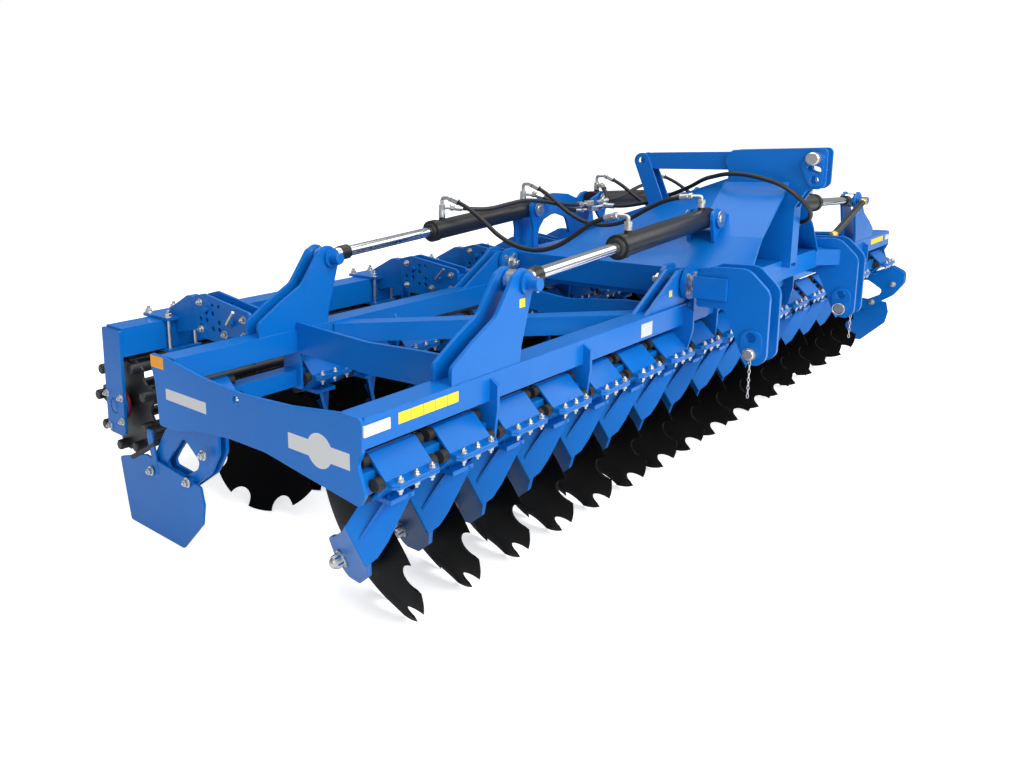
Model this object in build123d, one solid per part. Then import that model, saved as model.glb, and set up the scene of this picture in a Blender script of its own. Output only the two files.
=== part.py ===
"""Folding compact disc harrow, three-point mounted, 4 m wide: two rows of notched discs and a tube roller.

Frame: +X to the machine's left, -Y forward (the way it is pulled), +Z up, origin on the floor.
Lengths are in millimetres. Y is measured rearward from the bolts of the front row's clamps while
the pieces are built, and save() shifts everything so that the origin is at the middle of the length.
"""
from build123d import *
from math import acos, asin, cos, radians, sin, sqrt, tan
import os

# ---------------------------------------------------------------- driving dimensions
FRONT_END_Y = -278.0        # front edge of the hitch plates
REAR_END_Y = 1700.0         # back of the roller
MID_Y = (FRONT_END_Y + REAR_END_Y) / 2

PITCH = 250.0               # disc to disc along a row
ROW_SPACING = 820.0         # front row to rear row
STATIONS = 18               # places along a row, the last of each row holds a deflector
FIRST_STATION_X = -PITCH * (STATIONS - 1) / 2
CLAMP_Z = 540.0             # height of the suspension bars
BAR = 60.0                  # suspension bar, square
BAR_Y = 80.0                # bar's centre, behind the clamp bolts

BLADE_R = 255.0             # disc radius
BLADE_T = 6.0
BLADE_DEPTH = 48.0          # how deep the dish is
BLADE_NOTCHES = 8
NOTCH_R = 46.0
NOTCH_INSET = 4.0           # notch circle's centre inside the rim
DISC_YAW = 17.5             # degrees, the disc's angle to the way it is pulled
DISC_CAMBER = 19.0          # degrees, the disc's lean
DISC_OFFSET_X = 102.0       # rim's centre beside its clamp
DISC_OFFSET_Y = 257.0       # and behind it

HUB_LENGTH = 27.0           # bearing drum between the blade and the arm
HUB_R = 44.0
FLANGE_R = 62.0             # plates that clamp the blade to its drum
HUB_GAP = 7.0
AXLE_R = 15.0
AXLE_REACH = 30.0           # axle's length from the arm's face into the drum
WASHER_T = 5.0
ARM_T = 14.0
LIMB_T = 12.0               # the arm's upper plate
LIMB_SUNK = 3.0

BEAM = 80.0                 # square tubes of the frame
BEAM_TOP = 717.0
FRONT_BEAM_Y = 38.0         # front face of the front beam
REAR_BEAM_Y = FRONT_BEAM_Y + ROW_SPACING
WING_INNER_X = 510.0         # inner ends of the wing's beams
CENTRE_HALF = 494.0
WING_OUTER_X = 2270.0
END_PLATE_T = 12.0

HINGE_X = 502.0
HINGE_Z = 796.0
PIN_R = 20.0
PIN_PLAY = 0.1
INNER_HANGER_X = 535.0      # outer face of the plate at the wing's inner end
ROD_PIN = (1581.0, 949.0)   # X and Z of the cylinder's pin on the wing
BASE_PIN = (289.0, 1018.0)  # X and Z of the cylinder's pin on the tower
CYLINDER_PLANES = (FRONT_BEAM_Y + BEAM / 2, REAR_BEAM_Y + BEAM / 2)
BARREL_R = 40.0
BARREL_FROM = -22.0         # barrel's ends, measured along it from the base pin
BARREL_LENGTH = 690.0
EAR_INNER = 42.0            # barrel's middle plane to the faces of its ears
EAR_T = 12.0
ROD_R = 20.0
EYE_WIDTH = 40.0

HITCH_HALF_WIDTH = 505.0    # lower link brackets, Category 3
HITCH_CLEAR = 82.0          # between the two plates of a bracket
HITCH_T = 16.0
LINK_HOLE_R = 18.7
LOWER_PIN = (-226.0, 576.0)
UPPER_HOLE = (-224.0, 634.0)
LINK_HOLES = ((*LOWER_PIN, LINK_HOLE_R), (*UPPER_HOLE, LINK_HOLE_R))
HITCH_DOUBLER_T = 8.0
MAST_CLEAR = 52.0           # between the head plates, for the top link's ball
MAST_T = 10.0
DOUBLER_T = 10.0
TOP_PIN = (-228.0, 1242.0)
TOP_HOLE = (-230.0, 1160.0)
TOP_HOLE_R = 16.2
CROSS_TUBE = (-134.0, -14.0, 756.0, 836.0)      # Y from, to, Z from, to
CROSS_TUBE_HALF = 580.0

ROLLER_Y = 1505.0
ROLLER_Z = 390.0
ROLLER_TUBES = 9
ROLLER_PITCH_R = 175.0
ROLLER_TUBE_R = 20.0
STAR_R = 192.0
STAR_T = 10.0
SHAFT_R = 38.0
STUB_R = 17.0
BEARING_T = 10.0
NOTCH_PITCH_R = 205.0       # circle of the scallops between the tubes
ROLLER_NOTCH_R = 40.0
ROLLER_BEAM = (1435.0, 1545.0, 588.0, 698.0)     # Y from, to, Z from, to
SIDE_PLATE_T = 12.0

CLEAR = 0.4                 # between pieces of one body that rest against each other


# ---------------------------------------------------------------- making plates and bars
def outline(points):
    """A flat face in X and Y from corners (u, v) or (u, v, corner radius)."""
    corners = [(Vector(p[0], p[1]), p[2] if len(p) > 2 else 0.0) for p in points]
    count = len(corners)
    ends = []
    for i, (at, radius) in enumerate(corners):
        if not radius:
            ends.append((at, None, at))
            continue
        back = (corners[i - 1][0] - at).normalized()
        ahead = (corners[(i + 1) % count][0] - at).normalized()
        half = acos(max(-1.0, min(1.0, back.dot(ahead)))) / 2
        reach = radius / tan(half)
        middle = at + (back + ahead).normalized() * (radius / sin(half) - radius)
        ends.append((at + back * reach, middle, at + ahead * reach))
    edges = []
    for i, (start, middle, end) in enumerate(ends):
        if middle is not None:
            edges.append(ThreePointArc(start, middle, end))
        following = ends[(i + 1) % count][0]
        if (following - end).length > 1e-6:
            edges.append(Line(end, following))
    return Face(Wire(edges))


def sheet(points, plane, thick, holes=()):
    """A plate on the plane, with round holes (u, v, radius)."""
    face = outline(points)
    for u, v, radius in holes:
        face = face - Pos(u, v) * Circle(radius)
    return extrude(plane * face, amount=thick, dir=plane.z_dir)


def plate_x(points, x_low, thick, holes=()):
    """A plate square to X from (Y, Z) corners."""
    plane = Plane(origin=(x_low, 0, 0), x_dir=(0, 1, 0), z_dir=(1, 0, 0))
    return sheet(points, plane, thick, holes)


def plate_y(points, y_low, thick, holes=()):
    """A plate square to Y from (X, Z) corners."""
    plane = Plane(origin=(0, y_low + thick, 0), x_dir=(1, 0, 0), z_dir=(0, -1, 0))
    return sheet(points, plane, thick, holes)


def plate_z(points, z_low, thick):
    """A level plate from (X, Y) corners."""
    return sheet(points, Plane(origin=(0, 0, z_low)), thick)


def block(x_low, x_high, y_low, y_high, z_low, z_high):
    size = (x_high - x_low, y_high - y_low, z_high - z_low)
    middle = ((x_low + x_high) / 2, (y_low + y_high) / 2, (z_low + z_high) / 2)
    return Pos(*middle) * Box(*size)


def rod_x(x_low, x_high, y, z, radius):
    return Pos((x_low + x_high) / 2, y, z) * Rot(0, 90, 0) * Cylinder(radius, x_high - x_low)


def rod_y(y_low, y_high, x, z, radius):
    return Pos(x, (y_low + y_high) / 2, z) * Rot(90, 0, 0) * Cylinder(radius, y_high - y_low)


def rod_between(start, end, radius):
    way = Vector(end) - Vector(start)
    plane = Plane(origin=start, z_dir=way)
    return extrude(plane * Circle(radius), amount=way.length)


def bar_between(start, end, width, height):
    """A level square tube between two points."""
    way = Vector(end) - Vector(start)
    plane = Plane(origin=start, x_dir=(0, 0, 1), z_dir=way)
    return extrude(plane * Rectangle(height, width), amount=way.length)


def join(pieces):
    pieces = list(pieces)
    whole = pieces[0]
    return whole.fuse(*pieces[1:]) if len(pieces) > 1 else whole


def flip(shape):
    """The same piece on the other side of the machine."""
    return mirror(shape, about=Plane.YZ)


def save(name, shapes):
    """Write one node: its solids side by side, shifted to the part's own origin."""
    solids = []
    for shape in shapes if isinstance(shapes, (list, tuple)) else [shapes]:
        solids += shape.solids()
    moved = [Pos(0, -MID_Y, 0) * solid for solid in solids]
    export_step(moved[0] if len(moved) == 1 else Compound(children=moved), f"parts/{name}.step")


def station_x(number):
    return FIRST_STATION_X + PITCH * number


# ---------------------------------------------------------------- the disc's own axes
def disc_axes(side):
    """Where a disc leans: side +1 for the front row, -1 for the rear, which throws the other way."""
    yaw, camber = radians(DISC_YAW), radians(DISC_CAMBER)
    axis = Vector(side * cos(yaw) * cos(camber), -sin(yaw) * cos(camber), sin(camber))
    back = Vector(0, 0, 1).cross(axis).normalized()
    return axis, back, axis.cross(back)


def hub_height(side):
    """A front disc stands on a notch's two corners, a rear disc on the middle of a lobe."""
    inner = BLADE_R - NOTCH_INSET
    corner = (BLADE_R ** 2 + inner ** 2 - NOTCH_R ** 2) / (2 * BLADE_R * inner) if side > 0 else 1.0
    return BLADE_R * cos(radians(DISC_CAMBER)) * corner


def disc_centre(side):
    """The rim's centre, beside a clamp at X = 0, Y = 0."""
    return Vector(side * DISC_OFFSET_X, DISC_OFFSET_Y, hub_height(side))


def disc_plane(side, along):
    """A plane square to the disc's axis, some way along it from the rim towards the hollow side."""
    axis, back, _ = disc_axes(side)
    return Plane(origin=disc_centre(side) + axis * along, x_dir=back, z_dir=axis)


def blade(side):
    """Notched dish with its bearing drum, bored for the arm's axle."""
    bulge = (BLADE_R ** 2 + BLADE_DEPTH ** 2) / (2 * BLADE_DEPTH)
    hollow = bulge - BLADE_T
    rim_inner = sqrt(hollow ** 2 - (bulge - BLADE_DEPTH) ** 2)
    half_turn = asin(rim_inner / hollow) / 2
    section = Wire([
        Line((0, -BLADE_DEPTH), (0, BLADE_T - BLADE_DEPTH)),
        ThreePointArc((0, BLADE_T - BLADE_DEPTH),
                      (hollow * sin(half_turn), bulge - BLADE_DEPTH - hollow * cos(half_turn)),
                      (rim_inner, 0)),
        Line((rim_inner, 0), (BLADE_R, 0)),
        ThreePointArc((BLADE_R, 0),
                      (bulge * sin(asin(BLADE_R / bulge) / 2),
                       bulge - BLADE_DEPTH - bulge * cos(asin(BLADE_R / bulge) / 2)),
                      (0, -BLADE_DEPTH)),
    ])
    dish = revolve(Plane.XZ * Face(section), Axis.Z, 360)
    lobe = 0.0 if side > 0 else 180.0 / BLADE_NOTCHES
    for i in range(BLADE_NOTCHES):
        turn = -90 + lobe + i * 360.0 / BLADE_NOTCHES
        dish -= Rot(0, 0, turn) * Pos(BLADE_R - NOTCH_INSET, 0, 0) * Cylinder(NOTCH_R, 4 * BLADE_DEPTH)
    drum_from = -BLADE_DEPTH - HUB_LENGTH
    drum = Pos(0, 0, (drum_from + 8 - BLADE_DEPTH) / 2) * Cylinder(HUB_R, 8 - BLADE_DEPTH - drum_from)
    flange = Pos(0, 0, 3 - BLADE_DEPTH) * Cylinder(FLANGE_R, 8)
    inner_plate = Pos(0, 0, BLADE_T + 4 - BLADE_DEPTH) * Cylinder(FLANGE_R - 4, 8)
    whole = join([dish, drum, flange, inner_plate])
    whole -= Pos(0, 0, drum_from + 14) * Cylinder(AXLE_R + 0.5, AXLE_REACH)
    return disc_plane(side, 0) * whole


# ---------------------------------------------------------------- arm, clamp and rubber rods of one station
CLAMP_HALF = 89.0           # half the clamp's length along the bar
CLAMP_FACE = 53.0           # bar's centre to the clamp's sloping outer faces
CLAMP_T = 8.0
CLAMP_TOP = 66.0            # its flat top over the bar's centre
FLANGE_FRONT = -22.0        # clamp flange's front edge
FLANGE_CUT = 14.0           # its corners
RUBBER_R = 13.6
RUBBER_END_R = 17.5
RUBBER_BULGE = 4.6          # the swollen ends' centres, further from the bar
RUBBER_REACH = 24.0         # rods past the clamp's ends


def clamp_half(up):
    """One bent plate of the clamp: up +1 is the upper one, -1 the lower."""
    outer, inner = CLAMP_FACE * sqrt(2), (CLAMP_FACE - CLAMP_T) * sqrt(2)
    roof, ceiling = CLAMP_TOP, CLAMP_TOP - CLAMP_T
    rear = 2 * BAR_Y - FLANGE_FRONT - 10
    shape = [
        (FLANGE_FRONT, 0.5), (BAR_Y - inner, 0.5), (BAR_Y - inner + ceiling, ceiling),
        (BAR_Y + inner - ceiling, ceiling), (BAR_Y + inner, 0.5), (rear, 0.5), (rear, CLAMP_T),
        (BAR_Y + outer - CLAMP_T, CLAMP_T), (BAR_Y + outer - roof, roof, 8),
        (BAR_Y - outer + roof, roof, 8), (BAR_Y - outer + CLAMP_T, CLAMP_T), (FLANGE_FRONT, CLAMP_T),
    ]
    points = [(p[0], CLAMP_Z + up * p[1], *p[2:]) for p in shape]
    folded = plate_x(points, -CLAMP_HALF, 2 * CLAMP_HALF)
    cut, half = FLANGE_CUT, CLAMP_HALF
    front = FLANGE_FRONT
    plan = [(-half, front + cut), (cut - half, front), (half - cut, front), (half, front + cut),
            (half, rear - cut), (half - cut, rear), (cut - half, rear), (-half, rear - cut)]
    return folded & plate_z(plan, CLAMP_Z - 2 * CLAMP_TOP, 4 * CLAMP_TOP)


def hub_plate():
    """The arm's lower end, square to the disc's axis, with the axle and its nut."""
    face_at = -BLADE_DEPTH - HUB_LENGTH - HUB_GAP
    corners = [(-150, 189), (-92, 140, 30), (2, 74, 30), (66, 40, 40), (72, -40, 40), (20, -78, 40),
               (-70, -52, 30), (-160, 20, 20), (-198, 83)]
    plane = disc_plane(1, face_at)
    plate = extrude(plane * outline(corners), amount=ARM_T, dir=plane.z_dir * -1)
    axle = extrude(disc_plane(1, face_at) * Circle(AXLE_R), amount=AXLE_REACH)
    washer = extrude(disc_plane(1, face_at - ARM_T) * Circle(26), amount=-WASHER_T)
    nut = extrude(disc_plane(1, face_at - ARM_T - WASHER_T) * RegularPolygon(21, 6), amount=-20)
    return join([plate, axle, washer, nut])


def arm():
    """Bent plate from under the clamp to the hub, with a stiffening rib."""
    axis, back, up = disc_axes(1)
    centre = disc_centre(1)
    face_at = -BLADE_DEPTH - HUB_LENGTH - HUB_GAP - ARM_T
    fold_high = centre + axis * face_at + back * -150 + up * 189
    fold_low = centre + axis * face_at + back * -198 + up * 83
    neck = CLAMP_Z - CLAMP_TOP - 5
    neck_front = Vector(34, 38, neck)
    across = (fold_low - fold_high).cross(neck_front - fold_high).normalized()
    if across.X > 0:
        across = across * -1
    along = (fold_low - fold_high).normalized()

    def on_plate(x, y, z):
        point = Vector(x, y, z)
        return point - across * (point - fold_high).dot(across)

    outer = [fold_high, on_plate(-63, 141, CLAMP_Z - 108), on_plate(-31, 122, neck), neck_front,
             on_plate(22, 44, CLAMP_Z - 97), on_plate(-2, 56, CLAMP_Z - 145),
             on_plate(-25, 69, CLAMP_Z - 193), on_plate(-48, 84, CLAMP_Z - 233), fold_low]
    sunk = [point - across * LIMB_SUNK for point in outer]
    upper = extrude(Face(Wire.make_polygon(sunk)), amount=LIMB_T, dir=across)
    middle = across * (LIMB_T / 2 - LIMB_SUNK)
    seam = rod_between(fold_high + middle, fold_low + middle, LIMB_T / 2)
    rib_foot = (fold_high + fold_low) * 0.5 + (neck_front - fold_low) * 0.08
    rib_top = on_plate(0, 82, neck)
    rib_edge = Wire.make_polygon([rib_foot, rib_top, rib_top + across * 40, rib_foot + across * 10])
    rib = extrude(Face(rib_edge), amount=5, dir=along, both=True)
    return join([hub_plate(), upper, seam, rib])


def station_steel(side):
    """Clamp and arm for the front row, at a clamp X of 0; the rear row's is its mirror image."""
    drop = hub_height(side) - hub_height(1)
    limb = Pos(0, 0, drop) * arm()
    floor = CLAMP_Z - CLAMP_TOP
    roof_block = block(-45, 45, BAR_Y - 42, BAR_Y + 50, floor - 12, floor + 1)
    lower = join([clamp_half(-1), roof_block, limb])
    whole = [clamp_half(1), lower]
    return [flip(s) for s in whole] if side < 0 else whole


def station_rubber(low_reach=RUBBER_REACH, high_reach=RUBBER_REACH):
    """The four rubber rods between the bar and the clamp, swollen where they stick out."""
    rods = []
    low, high = -CLAMP_HALF - low_reach, CLAMP_HALF + high_reach
    offset = BAR / 2 + RUBBER_R + CLEAR
    for dy, dz in ((0, offset), (0, -offset), (offset, 0), (-offset, 0)):
        y, z = BAR_Y + dy, CLAMP_Z + dz
        outward = 1 + RUBBER_BULGE / offset
        end_y, end_z = BAR_Y + dy * outward, CLAMP_Z + dz * outward
        pieces = [rod_x(low, high, y, z, RUBBER_R)]
        if low_reach:
            pieces.append(rod_x(low, -CLAMP_HALF - CLEAR, end_y, end_z, RUBBER_END_R))
        if high_reach:
            pieces.append(rod_x(CLAMP_HALF + CLEAR, high, end_y, end_z, RUBBER_END_R))
        rods.append(join(pieces))
    return rods


# ---------------------------------------------------------------- deflector in a row's last place
def deflector(outward):
    """Clamp, double crescent bracket and steel plate; outward -1 at the machine's right end."""
    # corners (Y, Z) for a clamp whose bolts are at Y = 0
    crescent = [(-22, 520, 10), (-86, 487, 30), (-87, 421, 40), (-33, 339, 60), (102, 244, 60),
                (253, 239, 40), (330, 268, 20), (215, 428, 30), (150, 470), (150, 520)]
    window = [(19, 367, 20), (36, 337, 20), (111, 294, 20), (225, 300, 15), (178, 358, 20), (110, 430, 30)]
    guard = [(508, 261, 10), (461, 33, 10), (124, 38, 10), (4, 162, 20), (-9, 231), (5, 290, 10),
             (330, 315, 20)]
    under = BAR_Y + (CLAMP_FACE + CLEAR) * sqrt(2) - CLAMP_TOP
    split, floor = CLAMP_Z - CLEAR, CLAMP_Z - CLAMP_TOP
    profile = [(-60, split), (2 * BAR_Y - under, floor), (under, floor), (220, split), (220, 640),
               (-60, 640)]
    room = plate_x(profile, -200, 400)
    brackets = []
    for x in (-74, -44):
        plate = plate_x(crescent, x, 10) - plate_x(window, x - 1, 12)
        brackets.append(plate - room)
    spine = block(-74, 30, BAR_Y - 24, BAR_Y + 24, floor - 12, floor + 1)
    plate = plate_x(guard, -88, 8)
    bolts = [rod_x(-94, -34, y, z, 12) for y, z in ((70, 290), (290, 268))]
    whole = [clamp_half(1), join([clamp_half(-1), spine, *brackets, plate, *bolts])]
    return whole if outward < 0 else [flip(s) for s in whole]


# ---------------------------------------------------------------- wing frame, the machine's right one
HANGER_T = 12.0
CLEVIS_T = 12.0             # plates that carry a cylinder's rod pin
WING_LUG_T = 14.0
CENTRE_LUG_T = 16.0


def hanger(reach, top):
    """Corners of a plate that hangs the suspension bar from a beam."""
    face = FRONT_BEAM_Y
    return [(face + 1, top), (face - reach, top - 18), (face - reach, 622), (27, CLAMP_Z - 38),
            (BAR_Y + 36, CLAMP_Z - 38), (BAR_Y + 37, BEAM_TOP - BEAM + 1), (face + 1, BEAM_TOP - BEAM + 1)]


def row_hangers(row_y, places):
    """Hanging plates of one row from (X of the plate's low side, reach in front of the beam, top)."""
    return [Pos(0, row_y, 0) * plate_x(hanger(reach, top), x, HANGER_T) for x, reach, top in places]


def clevis_pair(row_y):
    """Two curved plates that carry the cylinder's rod pin, on top of a beam."""
    pin_x, pin_z = -ROD_PIN[0], ROD_PIN[1]
    shape = [(-1922, BEAM_TOP - 6), (-1922, 765, 20), (-1827, 820, 60), (-1722, 872, 60),
             (-1640, 978, 20), (pin_x - 6, pin_z + 52, 40), (pin_x + 44, pin_z + 4, 40),
             (-1600, 760, 30), (-1604, BEAM_TOP - 6)]
    front = row_y + FRONT_BEAM_Y
    pin_r = PIN_R + 0.5
    plates = [plate_y(shape, y, CLEVIS_T, [(pin_x, pin_z, pin_r)]) for y in (front + 3, front + 65)]
    pins = [rod_y(low, low + 23, pin_x, pin_z, pin_r) for low in (front - 9, front + 66)]
    collars = [rod_y(low, low + 6, pin_x, pin_z, 32) for low in (front - 3, front + 77)]
    return plates + pins + collars


def wing_lugs(row_y):
    """Pair of plates from a beam's top to the folding pin."""
    shape = [(-815, BEAM_TOP - 6), (-556, 850, 20), (-466, 842, 40), (-458, 766, 40), (-515, BEAM_TOP - 6)]
    front = row_y + FRONT_BEAM_Y
    hole = [(-HINGE_X, HINGE_Z, PIN_R + PIN_PLAY)]
    return [plate_y(shape, y, WING_LUG_T, hole) for y in (front + 10, front + 56)]


def wing_frame():
    low = BEAM_TOP - BEAM
    bar_half = BAR / 2
    end_plate = [(978, BEAM_TOP, 6), (900, 716, 60), (700, 690, 300), (513, 680, 300), (300, 692, 300),
                 (110, BEAM_TOP, 60), (38, BEAM_TOP, 14), (38, 630, 20), (55, 596, 20), (30, 520, 10),
                 (50, 488, 8), (240, 512, 200), (413, 535, 200), (572, 533, 200), (749, 514, 200),
                 (852, 487, 30), (948, 484, 10), (960, 624, 40), (978, 679)]
    saddle = [(FRONT_BEAM_Y + BEAM, low), (FRONT_BEAM_Y + BEAM, 742, 10), (300, 738, 60),
              (520, 728, 200), (740, 738, 60), (REAR_BEAM_Y, 746, 10), (REAR_BEAM_Y, low),
              (520, 622, 300)]
    inner_saddle = [(FRONT_BEAM_Y + BEAM, low), (FRONT_BEAM_Y + BEAM, BEAM_TOP), (250, 716, 60),
                    (500, 690, 300), (740, 716, 60), (REAR_BEAM_Y, BEAM_TOP), (REAR_BEAM_Y, low),
                    (520, 610, 300)]
    bar_from, bar_to = -WING_OUTER_X + END_PLATE_T - 1, -INNER_HANGER_X + 12
    pieces = [
        block(bar_from, -WING_INNER_X, FRONT_BEAM_Y, FRONT_BEAM_Y + BEAM, low, BEAM_TOP),
        block(bar_from, -WING_INNER_X, REAR_BEAM_Y, REAR_BEAM_Y + BEAM, low, BEAM_TOP),
        plate_x(end_plate, -WING_OUTER_X, END_PLATE_T, [(536, 655, 15)]),
        plate_x(saddle, -1758, 14),
        plate_x(inner_saddle, -592, 14),
        bar_between((-1560, REAR_BEAM_Y + 20, low + 36), (-700, FRONT_BEAM_Y + BEAM - 20, low + 36), 70, 70),
    ]
    for row in (0, ROW_SPACING):
        pieces.append(block(bar_from, bar_to, row + BAR_Y - bar_half, row + BAR_Y + bar_half,
                            CLAMP_Z - bar_half, CLAMP_Z + bar_half))
        pieces += clevis_pair(row)
        pieces += wing_lugs(row)
    for row, reach, inner_reach, top in ((0, 26, 40, 704), (ROW_SPACING, 10, 20, 690)):
        places = [(-1756, reach, top), (-1256, reach, top), (-INNER_HANGER_X, inner_reach, top + 9)]
        pieces += row_hangers(row, places)
    return join(pieces)


# ---------------------------------------------------------------- centre frame and hitch
SIDE_BEAM = (350.0, 420.0)
TOWER_FOOT = 828.0
LUG_R = 62.0
GUSSET = (374.0, 447.6)     # X from and to of the swept boxes in front of the cross tube
GUSSET_H = 68.0


def centre_lug(y_low):
    """Plate with a round end on the machine's right, for a folding pin."""
    foot = TOWER_FOOT - CLEAR
    end_x, top, low = -HINGE_X - LUG_R, HINGE_Z + LUG_R, HINGE_Z - LUG_R
    shape = [(-340, 640), (-340, foot), (-442, foot), (-455, top, 20), (end_x, top, LUG_R - 2),
             (end_x, low, LUG_R - 2), (-470, low, 10), (-470, 640)]
    return plate_y(shape, y_low, CENTRE_LUG_T, [(-HINGE_X, HINGE_Z, PIN_R)])


def hinge_pin(row_y):
    """The folding pin, with its head in front and a collar behind."""
    front = row_y + FRONT_BEAM_Y
    return join([rod_y(front - 22, front + 104, -HINGE_X, HINGE_Z, PIN_R - PIN_PLAY),
                 rod_y(front - 22, front - 12.5, -HINGE_X, HINGE_Z, 30),
                 rod_y(front + 92.5, front + 104, -HINGE_X, HINGE_Z, 28)])


def centre_frame():
    low = BEAM_TOP - BEAM
    half = BAR / 2
    bar_end = CENTRE_HALF - 8
    pieces = []
    for row in (0, ROW_SPACING):
        front = row + FRONT_BEAM_Y
        pieces.append(block(-CENTRE_HALF, CENTRE_HALF, front, front + BEAM, low, BEAM_TOP))
        bar_y = row + BAR_Y
        pieces.append(block(-bar_end, bar_end, bar_y - half, bar_y + half, CLAMP_Z - half, CLAMP_Z + half))
        pieces += row_hangers(row, [(x - 6, 16, 700) for x in (-250, 0, 250)])
        for y in (front - 12, front + 76):
            lug = centre_lug(y)
            pieces += [lug, flip(lug)]
    y_from, y_to, z_from, z_to = CROSS_TUBE
    inner, outer = GUSSET
    plan = [(inner, y_from + 1), (outer, y_from - (outer - inner)), (outer, y_from + 1)]
    gusset = plate_z(plan, z_from + 8, GUSSET_H)
    foot = TOWER_FOOT - CLEAR
    for side in (1, -1):
        low_x, high_x = sorted((side * SIDE_BEAM[0], side * SIDE_BEAM[1]))
        pieces.append(block(low_x, high_x, FRONT_BEAM_Y, REAR_BEAM_Y + BEAM, BEAM_TOP - 5, foot))
        pieces.append(block(low_x, high_x, y_to - 2, FRONT_BEAM_Y + 1, z_from, foot))
        pieces.append(gusset if side > 0 else flip(gusset))
    pieces.append(block(-CROSS_TUBE_HALF, CROSS_TUBE_HALF, y_from, y_to, z_from, z_to))
    return join(pieces)


def cross_tube_room():
    """The cross tube's outside with the clearance that the pieces round it keep."""
    y_from, y_to, z_from, z_to = CROSS_TUBE
    half = CROSS_TUBE_HALF + 50
    return block(-half, half, y_from - CLEAR, y_to + CLEAR, z_from - CLEAR, z_to + CLEAR)


def hitch_plate(x_low):
    """One plate of a lower link bracket, with its holes."""
    shape = [(-22, 722, 10), (-125, 722, 20), (-188, 575, 20), (-206, 546, 30), (-244, 526, 30),
             (-278, 560, 40), (-278, 800, 60), (-200, 878, 60), (-70, 873, 20), (-22, 845, 20)]
    return plate_x(shape, x_low, HITCH_T, LINK_HOLES) - cross_tube_room()


def hitch_brackets():
    """Both lower link brackets, each two plates round the cross tube's end."""
    pieces = []
    lobe = [(-262, 560, 30), (-262, 660, 30), (-190, 660, 30), (-190, 560, 30)]
    for side in (1, -1):
        for offset in (-1, 1):
            middle = side * HITCH_HALF_WIDTH + offset * (HITCH_CLEAR + HITCH_T) / 2
            plate = hitch_plate(middle - HITCH_T / 2)
            outer = middle + offset * HITCH_T / 2
            doubler_low = outer if offset > 0 else outer - HITCH_DOUBLER_T
            doubler = plate_x(lobe, doubler_low, HITCH_DOUBLER_T, LINK_HOLES)
            pieces.append(join([plate, doubler]))
    return pieces


def hitch_pins():
    """Lower link pins with their heads, and the top link pin."""
    half = HITCH_HALF_WIDTH
    pins = []
    for side in (1, -1):
        low, high = sorted((side * (half - 84), side * (half + 78)))
        pin = rod_x(low, high, *LOWER_PIN, LINK_HOLE_R - PIN_PLAY)
        head_from, head_to = sorted((side * (half + 66), side * (half + 78)))
        pins.append(join([pin, rod_x(head_from, head_to, *LOWER_PIN, 23)]))
    half = MAST_CLEAR / 2 + MAST_T + DOUBLER_T
    pins.append(join([rod_x(-half - 2, half + 26, *TOP_PIN, TOP_HOLE_R - PIN_PLAY),
                      rod_x(-half - 28, -half - CLEAR, *TOP_PIN, 25)]))
    return pins


# ---------------------------------------------------------------- mast, hood and cylinder ears
MAST_HALF = MAST_CLEAR / 2 + MAST_T
MAST_FRONT = -165.0         # front of the plate that closes the mast
STRUT_TOP = Vector(0, 480, 1230)
STRUT_FOOT = Vector(0, 401, 1035)
STRUT_R = 33.0
STRUT_T = 8.0
BOSS_T = 8.0                # rings outside the ears
ARM_SLOT = (196.0, 304.0, 790.0)    # X from, to and top of the slots in the arch's legs, for roller arms
RIDGE_LOW = (890.0, 865.0)  # Y and Z of the ridge bar's top at its rear end
RIDGE_HIGH = (98.0, 1160.0)


def mast():
    """Box of two head plates for the top link, with doublers, a rear tie, its strut and the ridge bar."""
    tube_front, _, _, tube_top = CROSS_TUBE
    behind, above = tube_front - CLEAR, tube_top + CLEAR
    head = [(119, 1240, 25), (87, 1275, 25), (-268, 1282, 20), (-268, 1138, 25), (-245, 1124, 10),
            (-208, 1124, 25), (-190, 1096, 20), (MAST_FRONT, 1052, 30), (MAST_FRONT, 810), (behind, 810),
            (behind, above), (60, above), (98, 1130), (99, 1192, 20)]
    doubler = [(-176, 1217, 15), (-214, 1134, 20), (-258, 1134, 20), (-260, 1266, 25), (-205, 1266, 25)]
    slot = [(-206, 1222, 14), (-195, 1196, 14), (-247, 1180, 14), (-258, 1206, 14)]
    holes = [(*TOP_PIN, TOP_HOLE_R), (*TOP_HOLE, TOP_HOLE_R)]
    pieces = []
    for side in (1, -1):
        low = min(side * MAST_CLEAR / 2, side * MAST_HALF)
        pieces.append(plate_x(head, low, MAST_T, holes))
        low = min(side * MAST_HALF, side * (MAST_HALF + DOUBLER_T))
        pieces.append(plate_x(doubler, low, DOUBLER_T, holes))
    gap = MAST_CLEAR / 2
    pieces.append(block(-gap, gap, MAST_FRONT, MAST_FRONT + 8, 826, 1050))
    pieces.append(block(-gap, gap, -60, -20, 1196, 1262))
    tie = [(-40, 1194), (421, 1193, 15), (500, 1232, 20), (455, 1263, 15), (-40, 1268)]
    pieces.append(plate_x(tie, -gap, 2 * gap))
    ridge = [RIDGE_HIGH, RIDGE_LOW, (RIDGE_LOW[0], 829), (860, 829), (98, 1112), (60, 1112), (60, 1150)]
    pieces.append(plate_x(ridge, -MAST_HALF, 2 * MAST_HALF))
    whole = join(pieces + strut())
    window = plate_x(slot, -100, 200)
    return whole - window


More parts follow.
